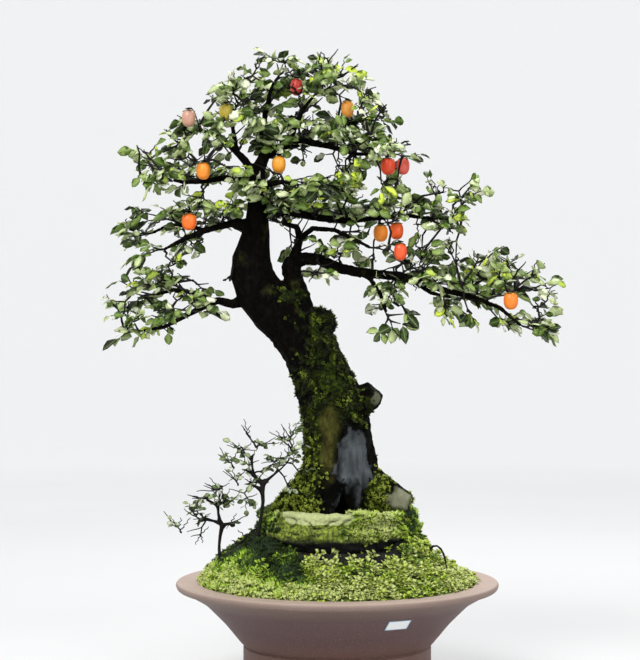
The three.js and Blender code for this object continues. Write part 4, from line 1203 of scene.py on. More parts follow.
def makeTrunk():
    piece = fineCopy(
        "trunkWood", "trunk", trunk["voxel"], trunk["smoothing"], trunk["swell"], trunk["keep"]
    )
    sculpt(piece.data, trunkRelief)
    piece.data.materials.clear()
    piece.data.materials.append(barkMaterial())
    return piece


wood = makeTrunk()
finish(wood, "bark", "trunk")
print("trunk:", len(wood.data.polygons), "faces")


# Foliage. Each piece dresses one limb: it keeps the stems and leaves of that limb's CAD sprays
# and adds finer twigs and leaves round them.

growth = {
    "sides": 5,  # of a twig's section
    "turn": (0.3, 0.75),  # how far a twiglet bends sideways at a joint, and how it rises
    "lift": (-0.15, 0.3),
    "forward": 0.45,  # how far a side leaf leans along its twig, away from it, out and down
    "splay": (0.7, 1.1),
    "outward": (0, 0.5),
    "hang": (-0.65, 0.25),
    "brighten": 0.12,  # painted light: how much paler a twiglet's last leaf is than its first
    "sway": (0.05, 0.28),  # how a branchlet winds, waves and arches
    "waver": (-0.17, 0.17),
    "arch": 0.12,
    "twigsFrom": 0.45,  # share of a branchlet that stays bare at its foot
    "facing": (0.7, 0.8, 0.3),  # how far leaves turn away from the light, in x, y and z
    "patch": 38,  # mm between paler and darker parts of the crown
    "tone": (0.38, 0.34, 0.38),  # middle tone, and what a patch and a single leaf change
    "palest": 21,  # leaves longer than this, in mm, stay darker than "sky", where the painted sheen starts, unless they are yellow
    "sky": 0.56,
    "yellow": 0.84,
    "frontLight": 0.14,  # painted light: how much paler branchlets in front are
    "topLight": (0.16, 0.45),  # painted light: how much paler leaves are towards a spray's top, past its middle
    "keptLength": (0.86, 1.04),  # what becomes of the leaves that the CAD sprays have
    "keptTurn": 0.5,
    "keptWidth": (1.15, 0.9),  # for short leaves and long ones
    "shortest": 24,
    "keptInClearing": 0.72,
    "fan": 0.9,  # radians between the twiglets round a fan, and how they swing and lift
    "swing": (-0.3, 0.3),
    "raise": (-0.25, 0.75),
}
foliage = {
    **growth,
    "twiglets": 3,  # round each fan of CAD leaves
    "joints": (3, 5),
    "reach": (16, 31),  # mm from a twiglet's foot to its end
    "leaf": (12, 24),
    "slim": (0.56, 0.76),  # width over length
    "twig": (1.25, 0.65),  # radius at a twiglet's foot and end
    "bare": 0.42,  # share of twiglets without leaves
    "branch": (2.1, 1),
    "stride": 18,  # mm between a branchlet's joints
    "axis": Vector((-40, 0, 0)),
}
# Places as seen from the front, in mm across and up
crown = {
    "top": 892,
    "span": (-329, 322),
    "depths": [(-62, -18), (20, 80)],
    "sprouts": 150,
    "jitter": 8,
    "barkFrom": 560,
    "bareTrunk": (Vector((-113, -8)), 34, 745),  # its middle, its radius and where it ends
    # where the crown fills in between its pads
    "fill": [
        (-270, 752), (-232, 760), (-152, 750), (-184, 684), (-142, 672), (-152, 842),
        (-118, 856), (-30, 858), (4, 848), (-104, 776), (42, 824), (66, 812), (-44, 748),
        (44, 748), (60, 702), (18, 690), (88, 706), (134, 690), (172, 690), (160, 602),
        (198, 598), (240, 590), (272, 574), (292, 552), (22, 622), (46, 606), (76, 560),
        (-74, 650), (-70, 620), (-212, 632), (-184, 626), (-142, 602), (-152, 572), (-198, 562),
        (150, 536), (176, 526), (-214, 734), (-148, 720), (-86, 713), (27, 727), (93, 761),
        (204, 572), (-4, 606), (-221, 545), (75, 652), (115, 650), (150, 645), (-60, 684),
        (-28, 668), (-104, 696), (-20, 706), (-265, 734), (-65, 866), (-17, 866), (-51, 823),
        (-45, 778), (-31, 580), (79, 534), (223, 567), (237, 511), (277, 536), (120, 617),
        (-258, 562), (-84, 668), (-54, 704), (-12, 684), (27, 800), (-155, 660), (-234, 593),
        (109, 582), (180, 676), (-306, 527), (-2, 738), (-130, 802), (12, 716), (70, 740),
        (-124, 700), (-90, 694), (-244, 510),
    ],
    # where the light shows between the pads, with a radius
    "clearings": [
        (-278, 768, 18), (-310, 658, 16), (-265, 610, 22), (-306, 555, 14), (-310, 493, 22),
        (-161, 624, 24), (-168, 858, 18), (-79, 888, 20), (-58, 644, 16), (-17, 734, 16),
        (13, 844, 16), (52, 612, 15), (52, 493, 30), (79, 823, 22), (168, 706, 20),
        (248, 616, 12), (298, 584, 14), (-165, 690, 14), (-196, 576, 18), (-166, 576, 15),
        (-175, 518, 14), (-58, 720, 18), (-69, 624, 15), (79, 847, 14), (72, 802, 12),
        (120, 761, 16), (189, 655, 14), (210, 624, 14), (34, 637, 16), (96, 637, 14),
        (72, 589, 12), (27, 559, 14), (93, 500, 14), (52, 709, 12), (-3, 752, 12),
        (302, 552, 10), (185, 534, 13), (-251, 789, 14), (-289, 706, 14), (-317, 580, 12),
        (-210, 576, 15), (-141, 738, 15), (-42, 717, 14), (16, 828, 14), (-14, 813, 12),
        (113, 782, 18), (113, 706, 15), (130, 635, 12), (203, 520, 13), (120, 527, 12),
        (-10, 887, 11), (-51, 891, 10), (316, 497, 10), (-124, 586, 20), (-12, 640, 14),
    ],
}
saplings = {
    **growth,
    "twiglets": 4,
    "joints": (4, 6),
    "reach": (16, 32),
    "leaf": (7, 13),
    "slim": (0.5, 0.7),
    "twig": (0.9, 0.5),
    "bare": 0.72,
    "branch": (1.5, 0.9),
    "stride": 10,
    "axis": Vector((-120, 0, 0)),
    "nodes": ("sapling_left", "sapling_tall"),
    "stemTop": 0.215,  # metres up, above which their branchlets start
    "depths": (-60, -20),
    "jitter": 5,
    "fill": [
        (-214, 229), (-196, 246), (-188, 266), (-168, 280), (-142, 294), (-150, 318),
        (-134, 335), (-120, 352), (-104, 342), (-80, 348), (-66, 352), (-54, 334), (-54, 308),
        (-72, 288), (-104, 307), (-128, 211), (-189, 218), (-158, 262), (-84, 322), (-130, 270),
    ],
}
fruits = {
    # place in mm, width, unripe and ripe colour
    "fruit_01": (-81, -24, 729, 19.5, "#F7B23A", "#F08A1A"),
    "fruit_02": (-204, -40, 649, 21, "#F7832A", "#EE5514"),
    "fruit_03": (-184, -48, 718, 19, "#F3A03A", "#EA7414"),
    "fruit_04": (70, -30, 726, 20, "#EF5A30", "#DE3A18"),
    "fruit_05": (91, -22, 727, 18, "#E46A58", "#CB4138"),
    "fruit_06": (60, -24, 634, 20, "#F49A34", "#E97C16"),
    "fruit_07": (82, -26, 637, 19, "#F2702E", "#E64E14"),
    "fruit_08": (86, -56, 607, 18, "#EE6430", "#DF4014"),
    "fruit_09": (238, -44, 540, 20, "#F28C30", "#E66E14"),
    "fruit_10": (-56, -26, 836, 18, "#D4503E", "#B9242A"),
    "fruit_11": (-204, -48, 790, 19, "#C49A82", "#A87866"),
    "fruit_12": (-154, -34, 800, 18, "#C2B040", "#A8902A"),
    "fruit_13": (14, -22, 806, 18, "#E29C44", "#CC7C24"),
}


shown = {"fruits": 9, "near": 8, "width": 0.62, "margin": 5}  # leaves may cover the rest in part


# A CAD fan has a hub above and below that share an outline of leaf points
fan = {"spokes": 6, "thickest": 2.5 * mm, "shared": 5}


def fansOf(bm):
    fans = []
    taken = set()
    for top in bm.verts:
        if top in taken or len(top.link_edges) < fan["spokes"]:
            continue
        around = {edge.other_vert(top) for edge in top.link_edges}
        for under in inOrder({e.other_vert(v) for v in around for e in v.link_edges}):
            if under in taken or under is top:
                continue
            if (under.co - top.co).length > fan["thickest"]:
                continue
            shared = inOrder(around & {edge.other_vert(under) for edge in under.link_edges})
            if len(shared) < fan["shared"]:
                continue
            taken |= {top, under}
            fans.append((top, under, shared))
            break
    return fans


def bladesOf(top, under, outline):
    hub = (top.co + under.co) / 2
    facing = (top.co - under.co).normalized()
    if facing.z < 0:
        facing = -facing
    blades = []
    for point in outline:
        beside = [e.other_vert(point) for e in point.link_edges if e.other_vert(point) in outline]
        reach = (point.co - hub).length
        if len(beside) != 2 or any((v.co - hub).length > reach for v in beside):
            continue
        width = (beside[0].co - beside[1].co).length
        blades.append((hub / mm, point.co / mm, facing, width / mm))
    return blades


# Leaves of a spray that a fruit would be hidden by are left out
def hidesFruit(p):
    eye = camera["place"] / mm
    for x, y, z, width, *skin in list(fruits.values())[: shown["fruits"]]:
        if p.y > y + shown["near"]:
            continue
        share = (p.y - eye.y) / (y - eye.y)
        seen = eye + (Vector((x, y, z)) - eye) * share
        margin = width * shown["width"] + shown["margin"]
        if math.hypot(p.x - seen.x, p.z - seen.z) < margin:
            return True
    return False


def isClear(p):
    left, right = crown["span"]
    if not left < p.x < right:
        return True
    return any(math.hypot(p.x - x, p.z - z) < radius for x, z, radius in crown["clearings"])


def outOf(p, axis):
    away = (p - axis) * Vector((1, 1, 0))
    away.normalize()
    return away


# A twiglet zigzags away from its foot, with a leaf at each joint and one at its end
def growTwiglet(crop, foot, heading, habit, draw, toneShift):
    joints = draw.randint(*habit["joints"])
    reach = draw.uniform(*habit["reach"])
    bare = draw.random() < habit["bare"]
    away = outOf(foot, habit["axis"])
    beside = heading.cross(up).normalized() if abs(heading.z) < 0.95 else Vector((1, 0, 0))
    end = foot + heading * reach
    if habit is foliage and (hidesFruit(foot.lerp(end, 0.5)) or hidesFruit(end) or isClear(end)):
        return
    at = foot.copy()
    first, last = habit["twig"]
    crop["points"].append(at)
    crop["thickness"].append(first * mm)
    side = draw.choice((-1, 1))
    for k in range(joints):
        bend = beside * side * draw.uniform(*habit["turn"]) + up * draw.uniform(*habit["lift"])
        step = (heading + bend).normalized() * reach / joints
        at = at + step
        share = (k + 1) / joints
        crop["edges"].append((len(crop["points"]) - 1, len(crop["points"])))
        crop["points"].append(at)
        crop["thickness"].append((first + (last - first) * share) * mm)
        ends = k == joints - 1
        if not bare:
            for turn in (0,) if ends else (side, -side)[: draw.choice((1, 1, 2))]:
                out = heading * (1 if ends else habit["forward"])
                out += beside * turn * draw.uniform(*habit["splay"])
                out += away * draw.uniform(*habit["outward"]) + up * draw.uniform(*habit["hang"])
                # Painted light: the leaves grow paler towards the twiglet's end
                tone = toneShift + habit["brighten"] * share
                addLeaf(crop, at, out.normalized(), habit, draw, tone)
        side = -side


# A finer branch that arches from the wood to the middle of a pad, with twiglets past its half
def growBranchlet(crop, start, target, habit, draw, toneShift):
    span = target - start
    joints = max(3, round(span.length / habit["stride"]))
    first, last = habit["branch"]
    line = span.normalized()
    beside = line.cross(up).normalized()
    joint = len(crop["points"])
    crop["points"].append(start)
    crop["thickness"].append(first * mm)
    side = 1
    for k in range(joints):
        share = (k + 1) / joints
        sway = beside * side * draw.uniform(*habit["sway"]) + up * draw.uniform(*habit["waver"])
        arch = up * habit["arch"] * span.length * math.sin(math.pi * share)
        at = start.lerp(target, share) + arch + sway * habit["stride"]
        crop["edges"].append((joint, len(crop["points"])))
        joint = len(crop["points"])
        crop["points"].append(at)
        crop["thickness"].append((first + (last - first) * share) * mm)
        if share > habit["twigsFrom"]:
            heading = line * 0.5 + beside * side + up * draw.uniform(-0.2, 0.8)
            growTwiglet(crop, at, heading.normalized(), habit, draw, toneShift)
        side = -side
    for turn in (-0.8, 0, 0.8):
        heading = line + beside * turn + up * draw.uniform(-0.2, 0.6)
        growTwiglet(crop, at, heading.normalized(), habit, draw, toneShift)


def addLeaf(crop, foot, heading, habit, draw, toneShift):
    length = draw.uniform(*habit["leaf"])
    tip = foot + heading * length
    if tip.z > crown["top"]:
        return
    if habit is foliage and (hidesFruit(foot.lerp(tip, 0.6)) or hidesFruit(tip) or isClear(tip)):
        return
    facing = up * 0.45 + outOf(foot, habit["axis"]) * 0.5
    facing += Vector([draw.uniform(-turn, turn) for turn in habit["facing"]])
    width = length * draw.uniform(*habit["slim"])
    putLeaf(crop, foot, heading, facing, length, width, habit, draw, toneShift)


def putLeaf(crop, foot, heading, facing, length, width, habit, draw, toneShift):
    middle, patchy, single = habit["tone"]
    patch = noise.noise(foot / habit["patch"])
    tone = middle + patchy * patch + toneShift + draw.uniform(-single, single)
    # Long leaves get no painted sheen: their tone stays below it unless it is in the yellow band
    if length > habit["palest"] and tone < habit["yellow"]:
        tone = min(tone, habit["sky"])
    crop["leaves"].append(
        {
            "place": foot * mm,
            "heading": heading,
            "facing": facing,
            "size": (width * mm, length * mm, length * mm),
            "form": draw.randrange(len(leafForms)),
            "tone": min(max(tone, 0), 1),
        }
    )


# The stems of a CAD spray, without its leaves, made round
stems = {"swell": 0.2 * mm, "flatWithin": 0.9, "squareWithin": 1.2, "levels": 1}


def bareWood(name, fans, bm, material):
    flat = set()
    for top, under, outline in fans:
        for face in [*top.link_faces, *under.link_faces]:
            if sum(vert in outline for vert in face.verts) == 2:
                flat.add(face)
    bmesh.ops.delete(bm, geom=inOrder(flat), context="FACES")
    rims = [edge for edge in bm.edges if edge.is_boundary]
    bmesh.ops.holes_fill(bm, edges=rims, sides=0)
    limits = {
        "angle_face_threshold": stems["flatWithin"],
        "angle_shape_threshold": stems["squareWithin"],
    }
    bmesh.ops.join_triangles(bm, faces=bm.faces, **limits)
    mesh = bpy.data.meshes.new(name)
    bm.to_mesh(mesh)
    piece = newPiece(name, mesh)
    smooth = piece.modifiers.new("Round", "SUBSURF")
    smooth.levels = stems["levels"]
    smooth.render_levels = stems["levels"]
    grow = piece.modifiers.new("Swell", "DISPLACE")
    grow.strength = stems["swell"]
    grow.mid_level = 0
    settled(piece)
    piece.data.materials.clear()
    piece.data.materials.append(material)
    piece.data.shade_smooth()
    return piece


def dressed(name, nodes, habit, tools, seed, slot, sprouts=(), branchlets=()):
    draw = random.Random(seed)
    crop = {"points": [], "edges": [], "thickness": [], "leaves": []}
    for foot, heading in sprouts:
        growTwiglet(crop, foot, heading, habit, draw, 0)
    for start, target in branchlets:
        # Painted light: branchlets in front are paler
        toneShift = habit["frontLight"] if target.y < 0 else 0
        growBranchlet(crop, start, target, habit, draw, toneShift)
    wooden = []
    for node in nodes:
        bm = welded(node)
        fans = fansOf(bm)
        lowest, highest = (corner.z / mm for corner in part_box(node))
        for top, under, outline in fans:
            hub = (top.co + under.co) / 2 / mm
            rise = (hub.z - lowest) / max(highest - lowest, 1)
            # Painted light: leaves are paler towards the spray's top
            paler, middle = habit["topLight"]
            toneShift = paler * (rise - middle)
            blades = bladesOf(top, under, outline)
            if not blades:
                continue
            ahead = sum((tip - foot for foot, tip, facing, width in blades), Vector()).normalized()
            for foot, tip, facing, width in blades:
                if hidesFruit(foot.lerp(tip, 0.6)) or hidesFruit(tip):
                    continue
                heading = (tip - foot).normalized()
                length = (tip - foot).length * draw.uniform(*habit["keptLength"])
                turn = habit["keptTurn"]
                facing = facing + Vector([draw.uniform(-turn, turn) for axis in range(3)])
                short, long = habit["keptWidth"]
                width *= short if length < habit["shortest"] else long
                length *= habit["keptInClearing"] if isClear(tip) else 1
                putLeaf(crop, foot, heading, facing, length, width, habit, draw, toneShift)
            across = ahead.cross(up).normalized()
            for k in range(habit["twiglets"]):
                swing = (k - (habit["twiglets"] - 1) / 2) * habit["fan"]
                swing += draw.uniform(*habit["swing"])
                lift = draw.uniform(*habit["raise"])
                heading = (ahead + across * swing + up * lift).normalized()
                growTwiglet(crop, hub, heading, habit, draw, toneShift)
        wooden.append(bareWood(f"{node}Stems", fans, bm, tools["bark"]))
        bm.free()
    joints = [p * mm for p in crop["points"]]
    twigs = newPiece("twigs", meshOf("twigs", joints, edges=crop["edges"]))
    setField(twigs.data, "thickness", crop["thickness"])
    grown(twigs, tools["twigTree"], {"Sides": habit["sides"], "Material": tools["bark"]})
    leaves = crop["leaves"]
    blades = newPiece("blades", meshOf("blades", [leaf["place"] for leaf in leaves]))
    for field, kind in {
        "heading": "FLOAT_VECTOR",
        "facing": "FLOAT_VECTOR",
        "size": "FLOAT_VECTOR",
        "tone": "FLOAT",
        "form": "INT",
    }.items():
        setField(blades.data, field, [leaf[field] for leaf in leaves], kind)
    grown(blades, tools["leafTree"], {"Shapes": tools["shapes"], "Material": tools["leaf"]})
    piece = joined(name, [*wooden, twigs, blades])
    finish(piece, slot, *nodes)
    return len(leaves)


def saplingGrowth():
    draw = random.Random(91)
    places = []
    for node in saplings["nodes"]:
        bm = welded(node)
        places += [(vert.co / mm, node) for vert in bm.verts if vert.co.z > saplings["stemTop"]]
        bm.free()
    starts = KDTree(len(places))
    for k, (place, node) in enumerate(places):
        starts.insert(place, k)
    starts.balance()
    branchlets = []
    jitter = saplings["jitter"]
    for x, z in saplings["fill"]:
        target = Vector((x + draw.uniform(-jitter, jitter), draw.uniform(*saplings["depths"]), z))
        start, k, away = starts.find(target)
        branchlets.append((start, target, places[k][1]))
    return branchlets


# Shares out short sprouts along the limbs, and branchlets to the gaps, to the nearest limb's piece
def plannedGrowth(limbs):
    draw = random.Random(90)
    hubs = []
    for limb, nodes in sorted(limbs.items()):
        for node in nodes:
            bm = welded(node)
            hubs += [((top.co + under.co) / 2 / mm, limb) for top, under, shared in fansOf(bm)]
            bm.free()
    tips = KDTree(len(hubs))
    for k, (place, limb) in enumerate(hubs):
        tips.insert(place, k)
    tips.balance()
    bm = welded("trunk")
    bark = []
    middle, radius, end = crown["bareTrunk"]
    for vert in bm.verts:
        p = vert.co / mm
        away = math.hypot(p.x - middle.x, p.y - middle.y)
        if p.z > crown["barkFrom"] and (away > radius or p.z > end):
            bark.append((p, vert.normal.copy()))
    bm.free()
    starts = KDTree(len(bark) + len(hubs))
    for k, (place, other) in enumerate(bark + hubs):
        starts.insert(place, k)
    starts.balance()
    sprouts, branchlets = {}, {}
    for place, normal in draw.sample(bark, crown["sprouts"]):
        limb = hubs[tips.find(place)[1]][1]
        heading = normal * 0.8 + up * 0.5 + Vector((draw.uniform(-0.4, 0.4), 0, 0))
        sprouts.setdefault(limb, []).append((place - normal * 0.6, heading.normalized()))
    jitter = crown["jitter"]
    for x, z in crown["fill"]:
        for depths in crown["depths"]:
            target = Vector((x + draw.uniform(-jitter, jitter), draw.uniform(*depths), z))
            start = starts.find(target)[0]
            limb = hubs[tips.find(start)[1]][1]
            branchlets.setdefault(limb, []).append((start, target))
    return sprouts, branchlets


def makeFoliage():
    shapes = shapeSet(
        "leafShapes", [bladeMesh(name, leafRows, **form) for name, form in leafForms.items()]
    )
    tools = {
        "bark": twigMaterial(),
        "leaf": leafMaterial("persimmonLeaves", persimmonTones, 0.36),
        "shapes": shapes,
        "twigTree": twigTree(),
        "leafTree": leafTree(),
    }
    limbs = {}
    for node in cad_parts:
        if node.startswith("spray_"):
            limbs.setdefault(node[len("spray_") : -2], []).append(node)
    sprouts, branchlets = plannedGrowth(limbs)
    count = 0
    for seed, (limb, nodes) in enumerate(sorted(limbs.items())):
        shoots = (sprouts.get(limb, ()), branchlets.get(limb, ()))
        count += dressed(f"foliage_{limb}", nodes, foliage, tools, 100 + seed, "leaf", *shoots)
    print("foliage:", len(limbs), "limbs,", count, "leaves")
    tools["leaf"] = leafMaterial("saplingLeaves", saplingTones, 0.5)
    for seed, node in enumerate(saplings["nodes"]):
        branchlets = [(start, target) for start, target, other in saplingGrowth() if other == node]
        dressed(f"{node}_fine", [node], saplings, tools, 200 + seed, "sapling", (), branchlets)
    return tools


tools = makeFoliage()


def makeArchingRoot():
    bm = welded("arching_root")
    piece = bareWood("archingRoot", [], bm, tools["bark"])
    bm.free()
    finish(piece, "bark", "arching_root")


makeArchingRoot()


# Fruit

fruitForm = [(0, -12), (2.2, -11.9), (4.6, -11.2), (6.9, -9.6), (8.7, -6.9), (9.7, -3.4), (10, 0.4)]
fruitForm += [(9.8, 3.8), (9, 6.9), (7.6, 9.3), (5.6, 10.9), (3.4, 11.6), (1.6, 11.5), (0, 11.2)]
fruitWidth = 20  # of the form above
ribbing = {"ribs": 4, "depth": 0.012, "segments": 24}
calyx = {"lobes": 4, "reach": 0.5, "width": 0.42, "thick": 10 * mm, "height": 11.9}
lobeRows = [(0, 0.5), (0.3, 0.95), (0.6, 1), (0.85, 0.55), (1, 0)]


def makeFruit():
    green = calyxMaterial()
    lobe = bladeMesh("lobe", lobeRows, cup=-0.1, droop=0.25, wave=0.04, thick=0.05)
    for seed, (name, (x, y, z, width, unripe, ripe)) in enumerate(fruits.items()):
        draw = random.Random(300 + seed)
        phase = draw.uniform(0, math.tau)

        def shape(angle, height):
            wave = ribbing["depth"] * math.cos(ribbing["ribs"] * angle + phase)
            return width / fruitWidth * (1 + wave)

        skin = newPiece(name + "Skin", latheMesh(name, fruitForm, ribbing["segments"], shape))
        skin.data.transform(Matrix.Translation(Vector((x, y, z)) * mm))
        skin.data.materials.append(fruitMaterial(name, unripe, ripe))
        blades = []
        for k in range(calyx["lobes"]):
            angle = phase + math.tau * k / calyx["lobes"] + draw.uniform(-0.15, 0.15)
            out = Vector((math.cos(angle), math.sin(angle), draw.uniform(-0.15, 0.2)))
            size = (calyx["width"] * width * mm, calyx["reach"] * width * mm, calyx["thick"])
            foot = Vector((x, y, z + calyx["height"])) * mm
            blades.append((lobe, axesTurn(out, up), foot, size))
        cap = newPiece(name + "Cap", clump("cap", blades))
        cap.data.materials.append(green)
        piece = joined(name + "_ripe", [skin, cap])
        finish(piece, "fruit", name)


makeFruit()
print("fruit:", len(fruits))


# Ground cover

mound = {
    # form in mm
    "topRadius": 108,
    "footRadius": 189,
    "rim": 150,
    "rise": 50,
    "bulge": 14,
    "hole": 96,
    "bank": 13,
    "bankRing": (134, 114),
    "thick": 5,
    "lumps": 4,
    "edge": 16,
    "columns": 220,
    "rows": 30,
    # radii or places in mm where a finish starts and where it is full
    "leafySide": (-122, -86),
    "frontAhead": (-40, -90),
    "frontAcross": ((-72, -44), (100, 76)),
    "rockShade": (124, 112),
    "recessAhead": 14,  # how much farther out the painted shade under the rock reaches in front
    "recessAcross": ((-78, -44), (108, 86)),
    "lowerRing": (152, 176),
    "dimRing": (140, 118),
}


def moundHeight(x, y):
    r = math.hypot(x, y)
    share = min(max((r - mound["topRadius"]) / (mound["footRadius"] - mound["topRadius"]), 0), 1)
    left = max(0, -x / max(r, 1))
    bulge = mound["bulge"] * left * math.sin(math.pi * share)
    fall = 0.9 + 0.35 * max(0, x / max(r, 1))
    bank = mound["bank"] * smoothstep(0.6, 0.95, abs(x) / max(r, 1))
    bank *= smoothstep(*mound["bankRing"], r)
    return mound["rim"] + mound["rise"] * (1 - share) ** fall + bulge + bank


# What grows at a place on the mound, how bright it is and how deep in shade
def moundFields(x, y, r):
    swirl = noise.noise(Vector((x, y, 7)) / 45)
    fray = 12 * swirl + 7 * noise.noise(Vector((x, y, 5)) / 9)
    right = smoothstep(*mound["leafySide"], x + 36 * swirl + 0.35 * y)
    lower = smoothstep(*mound["lowerRing"], r + 14 * swirl)
    leftEdge, rightEdge = mound["frontAcross"]
    front = smoothstep(*mound["frontAhead"], y) * smoothstep(*leftEdge, x)
    front *= smoothstep(*rightEdge, x)
    # Painted shade in a band under the rock and in gaps between the small leaves: the cover thins
    # out there and the mat turns near black
    start, full = (radius + mound["recessAhead"] * front for radius in mound["rockShade"])
    leftEdge, rightEdge = mound["recessAcross"]
    rockShade = smoothstep(start, full, r + fray)
    rockShade *= smoothstep(*leftEdge, x) * smoothstep(*rightEdge, x)
    gap = smoothstep(0, 0.12, noise.noise(Vector((x, y, 3)) / 15)) * (1 - 0.6 * lower)
    bare = max(0.96 * rockShade, 0.93 * gap * right)
    dim = 0.35 * smoothstep(*mound["dimRing"], r)
    return {
        "leafy": (0.15 + 0.85 * right) * (1 - bare),
        "mossy": (1 - 0.8 * right) * (1 - max(0.5 * rockShade, bare)),
        "glow": 0.5 * max(0.7 * right, lower) - 0.5 * (1 - lower) * (1 - right) - dim,
        "shade": max(rockShade, 0.9 * gap * right),
    }


def makeMound():
    columns, rows = mound["columns"], mound["rows"]
    foot, hole = mound["footRadius"], mound["hole"]
    points, faces, fields = [], [], {}
    for under in (0, 1):
        for j in range(rows + 1):
            r = hole + (foot - hole) * j / rows
            edge = smoothstep(foot, foot - mound["edge"], r)
            thick = mound["thick"] * (0.3 + 0.7 * edge)
            for i in range(columns):
                angle = math.tau * i / columns
                x, y = r * math.cos(angle), r * math.sin(angle)
                lump = noise.fractal(Vector((x, y, 0)) / 26, *hilly, 4) * mound["lumps"]
                z = moundHeight(x, y) + lump * edge - under * thick
                points.append(Vector((x, y, z - 0.5)) * mm)
                for name, value in moundFields(x, y, r).items():
                    grows = name in ("leafy", "mossy")
                    fields.setdefault(name, []).append(0 if grows and under else value)
    layer = columns * (rows + 1)
    for j in range(rows):
        for i in range(columns):
            a, b = j * columns + i, j * columns + (i + 1) % columns
            c, d = b + columns, a + columns
            faces += [(a, d, c, b), (layer + b, layer + c, layer + d, layer + a)]
    for i in range(columns):
        a, b = i, (i + 1) % columns
        faces.append((a, b, layer + b, layer + a))
        a, b = rows * columns + a, rows * columns + b
        faces.append((b, a, layer + a, layer + b))
    piece = newPiece("mossMat", meshOf("mossMat", points, faces))
    outward(piece.data)
    piece.data.shade_smooth()
    for name, values in fields.items():
        setField(piece.data, name, values)
    piece.data.materials.append(matMaterial())
    return piece


# Blades of a few faces each, for what is strewn by the thousand
def chipMesh(name, points, faces):
    mesh = meshOf(name, points, faces)
    writeChart(mesh, [(0.5 + x, y) for x, y, z in points])
    outward(mesh)
    return mesh


def leafChip():
    points = [(0, 0, 0), (-0.5, 0.5, 0.09), (0, 1, -0.08), (0.5, 0.5, 0.09), (0, 0.5, 0.03)]
    points.append((0, 0.5, -0.05))
    around = [(0, 1), (1, 2), (2, 3), (3, 0)]
    faces = [(a, b, 4) for a, b in around] + [(b, a, 5) for a, b in around]
    return chipMesh("leafChip", points, faces)


def needleChip():
    points = [(-0.5, 0, 0), (0.5, 0, 0), (0, 0, -0.6), (0, 1, 0.1)]
    return chipMesh("needleChip", points, [(0, 1, 2), (0, 3, 1), (1, 3, 2), (2, 3, 0)])


# Small plants of unit height, each built from a few blades
plants = {
    "leafySprigs": {
        "blades": 7,
        "slim": 0.8,
        "height": (0.1, 0.9),
        "spread": 0.5,
        "lean": (1.2, 2.6),
    },
    "mossTufts": {
        "blades": 12,
        "slim": 0.16,
        "height": (0, 0.15),
        "spread": 0.9,
        "lean": (0.3, 1.3),
    },
    "barkTufts": {
        "blades": 8,
        "slim": 0.15,
        "height": (0, 0.15),
        "spread": 0.9,
        "lean": (0.3, 1.3),
    },
}
variants = 5
goldenTurn = 0.381966


def sprigs(name, blade):
    plant = plants[name]
    shapes = []
    for k in range(variants):
        draw = random.Random(f"{name}{k}")
        blades = []
        for i in range(plant["blades"]):
            angle = math.tau * (i * goldenTurn) + draw.uniform(-0.4, 0.4)
            out = Vector((math.cos(angle), math.sin(angle), 0))
            raised = draw.uniform(*plant["height"])
            heading = out * draw.uniform(*plant["lean"]) + up
            facing = up * 1.2 + out * 0.3 + Vector((0.3 * draw.random(), -0.3, 0))
            size = draw.uniform(0.8, 1.2)
            foot = out * plant["spread"] * raised + up * raised
            wide = size * plant["slim"]
            blades.append((blade, axesTurn(heading, facing), foot, (wide, size, size)))
        shapes.append(clump(f"{name}{k}", blades))
    return shapeSet(name, shapes)


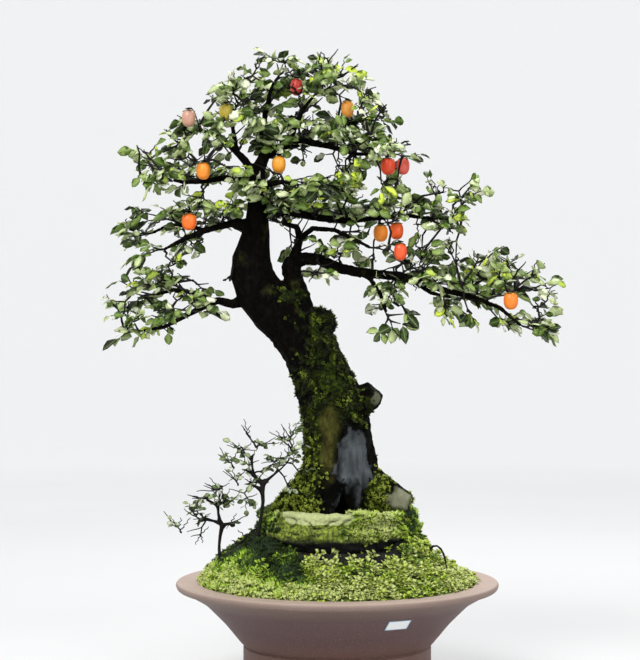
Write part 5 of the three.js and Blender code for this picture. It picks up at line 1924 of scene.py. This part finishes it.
# Colours from the darkest tone to the palest, and the painted shade at the foot of each blade
greens = {
    "smallLeaves": (
        [(0, "#1C2E08"), (0.25, "#688C22"), (0.45, "#BEDE48"), (0.72, "#E2F65C"), (1, "#F4FF9E")],
        "#34480C",
    ),
    "mossTufts": (
        [(0, "#0F1D08"), (0.3, "#3E6018"), (0.55, "#A0CC30"), (0.8, "#D6F654"), (1, "#EEFC98")],
        "#24380E",
    ),
    "barkMoss": ([(0, "#0E1404"), (0.3, "#313F0D"), (0.6, "#768A20"), (1, "#D2E458")], "#0E1404"),
}
# What is strewn: its plants, the field that says where, its green, then the tree's inputs
covers = {
    "groundLeaves": {
        "plants": "leafySprigs",
        "Where": "leafy",
        "green": "smallLeaves",
        "Smallest": 3.8 * mm,
        "Largest": 8.2 * mm,
        "Upright": 0.4,
        "Seed": 11,
        "Density": 44000.0,
        "Speckle": 0.4,
    },
    "rockMoss": {
        "plants": "mossTufts",
        "Where": "mossy",
        "green": "mossTufts",
        "Smallest": 2.6 * mm,
        "Largest": 6.5 * mm,
        "Upright": 0.5,
        "Seed": 14,
        "Density": 45000.0,
    },
    "groundMoss": {
        "plants": "mossTufts",
        "Where": "mossy",
        "green": "mossTufts",
        "Smallest": 4 * mm,
        "Largest": 8 * mm,
        "Upright": 0.5,
        "Seed": 12,
        "Density": 48000.0,
    },
    "trunkMoss": {
        "plants": "barkTufts",
        "Where": "tufts",
        "green": "barkMoss",
        "Smallest": 2 * mm,
        "Largest": 4.4 * mm,
        "Upright": 0.3,
        "Seed": 13,
        "Density": 56000.0,
        "Patch Size": 50.0,
        "Speckle": 0.32,
    },
}
usualCover = {"Patch Size": 22.0, "Speckle": 0.45}  # patches a metre, and how far specks differ


def makeCovers(carriers):
    tree = coverTree()
    leaf, needle = leafChip(), needleChip()
    blades = {"leafySprigs": leaf, "mossTufts": needle, "barkTufts": needle}
    shapes = {name: sprigs(name, blade) for name, blade in blades.items()}
    paints = {name: coverMaterial(name, *tones) for name, tones in greens.items()}
    for name, cover in covers.items():
        piece = newPiece(name, carriers[name].data.copy())
        given = {"Shapes": shapes[cover["plants"]], "Material": paints[cover["green"]]}
        grown(piece, tree, {**usualCover, **given, **cover})
        faces = len(piece.data.polygons)
        finish(piece, "carpet")
        print("cover:", name, faces, "faces")


mat = makeMound()
makeCovers({"groundLeaves": mat, "rockMoss": stone, "groundMoss": mat, "trunkMoss": wood})
finish(mat, "carpet", "moss_carpet")
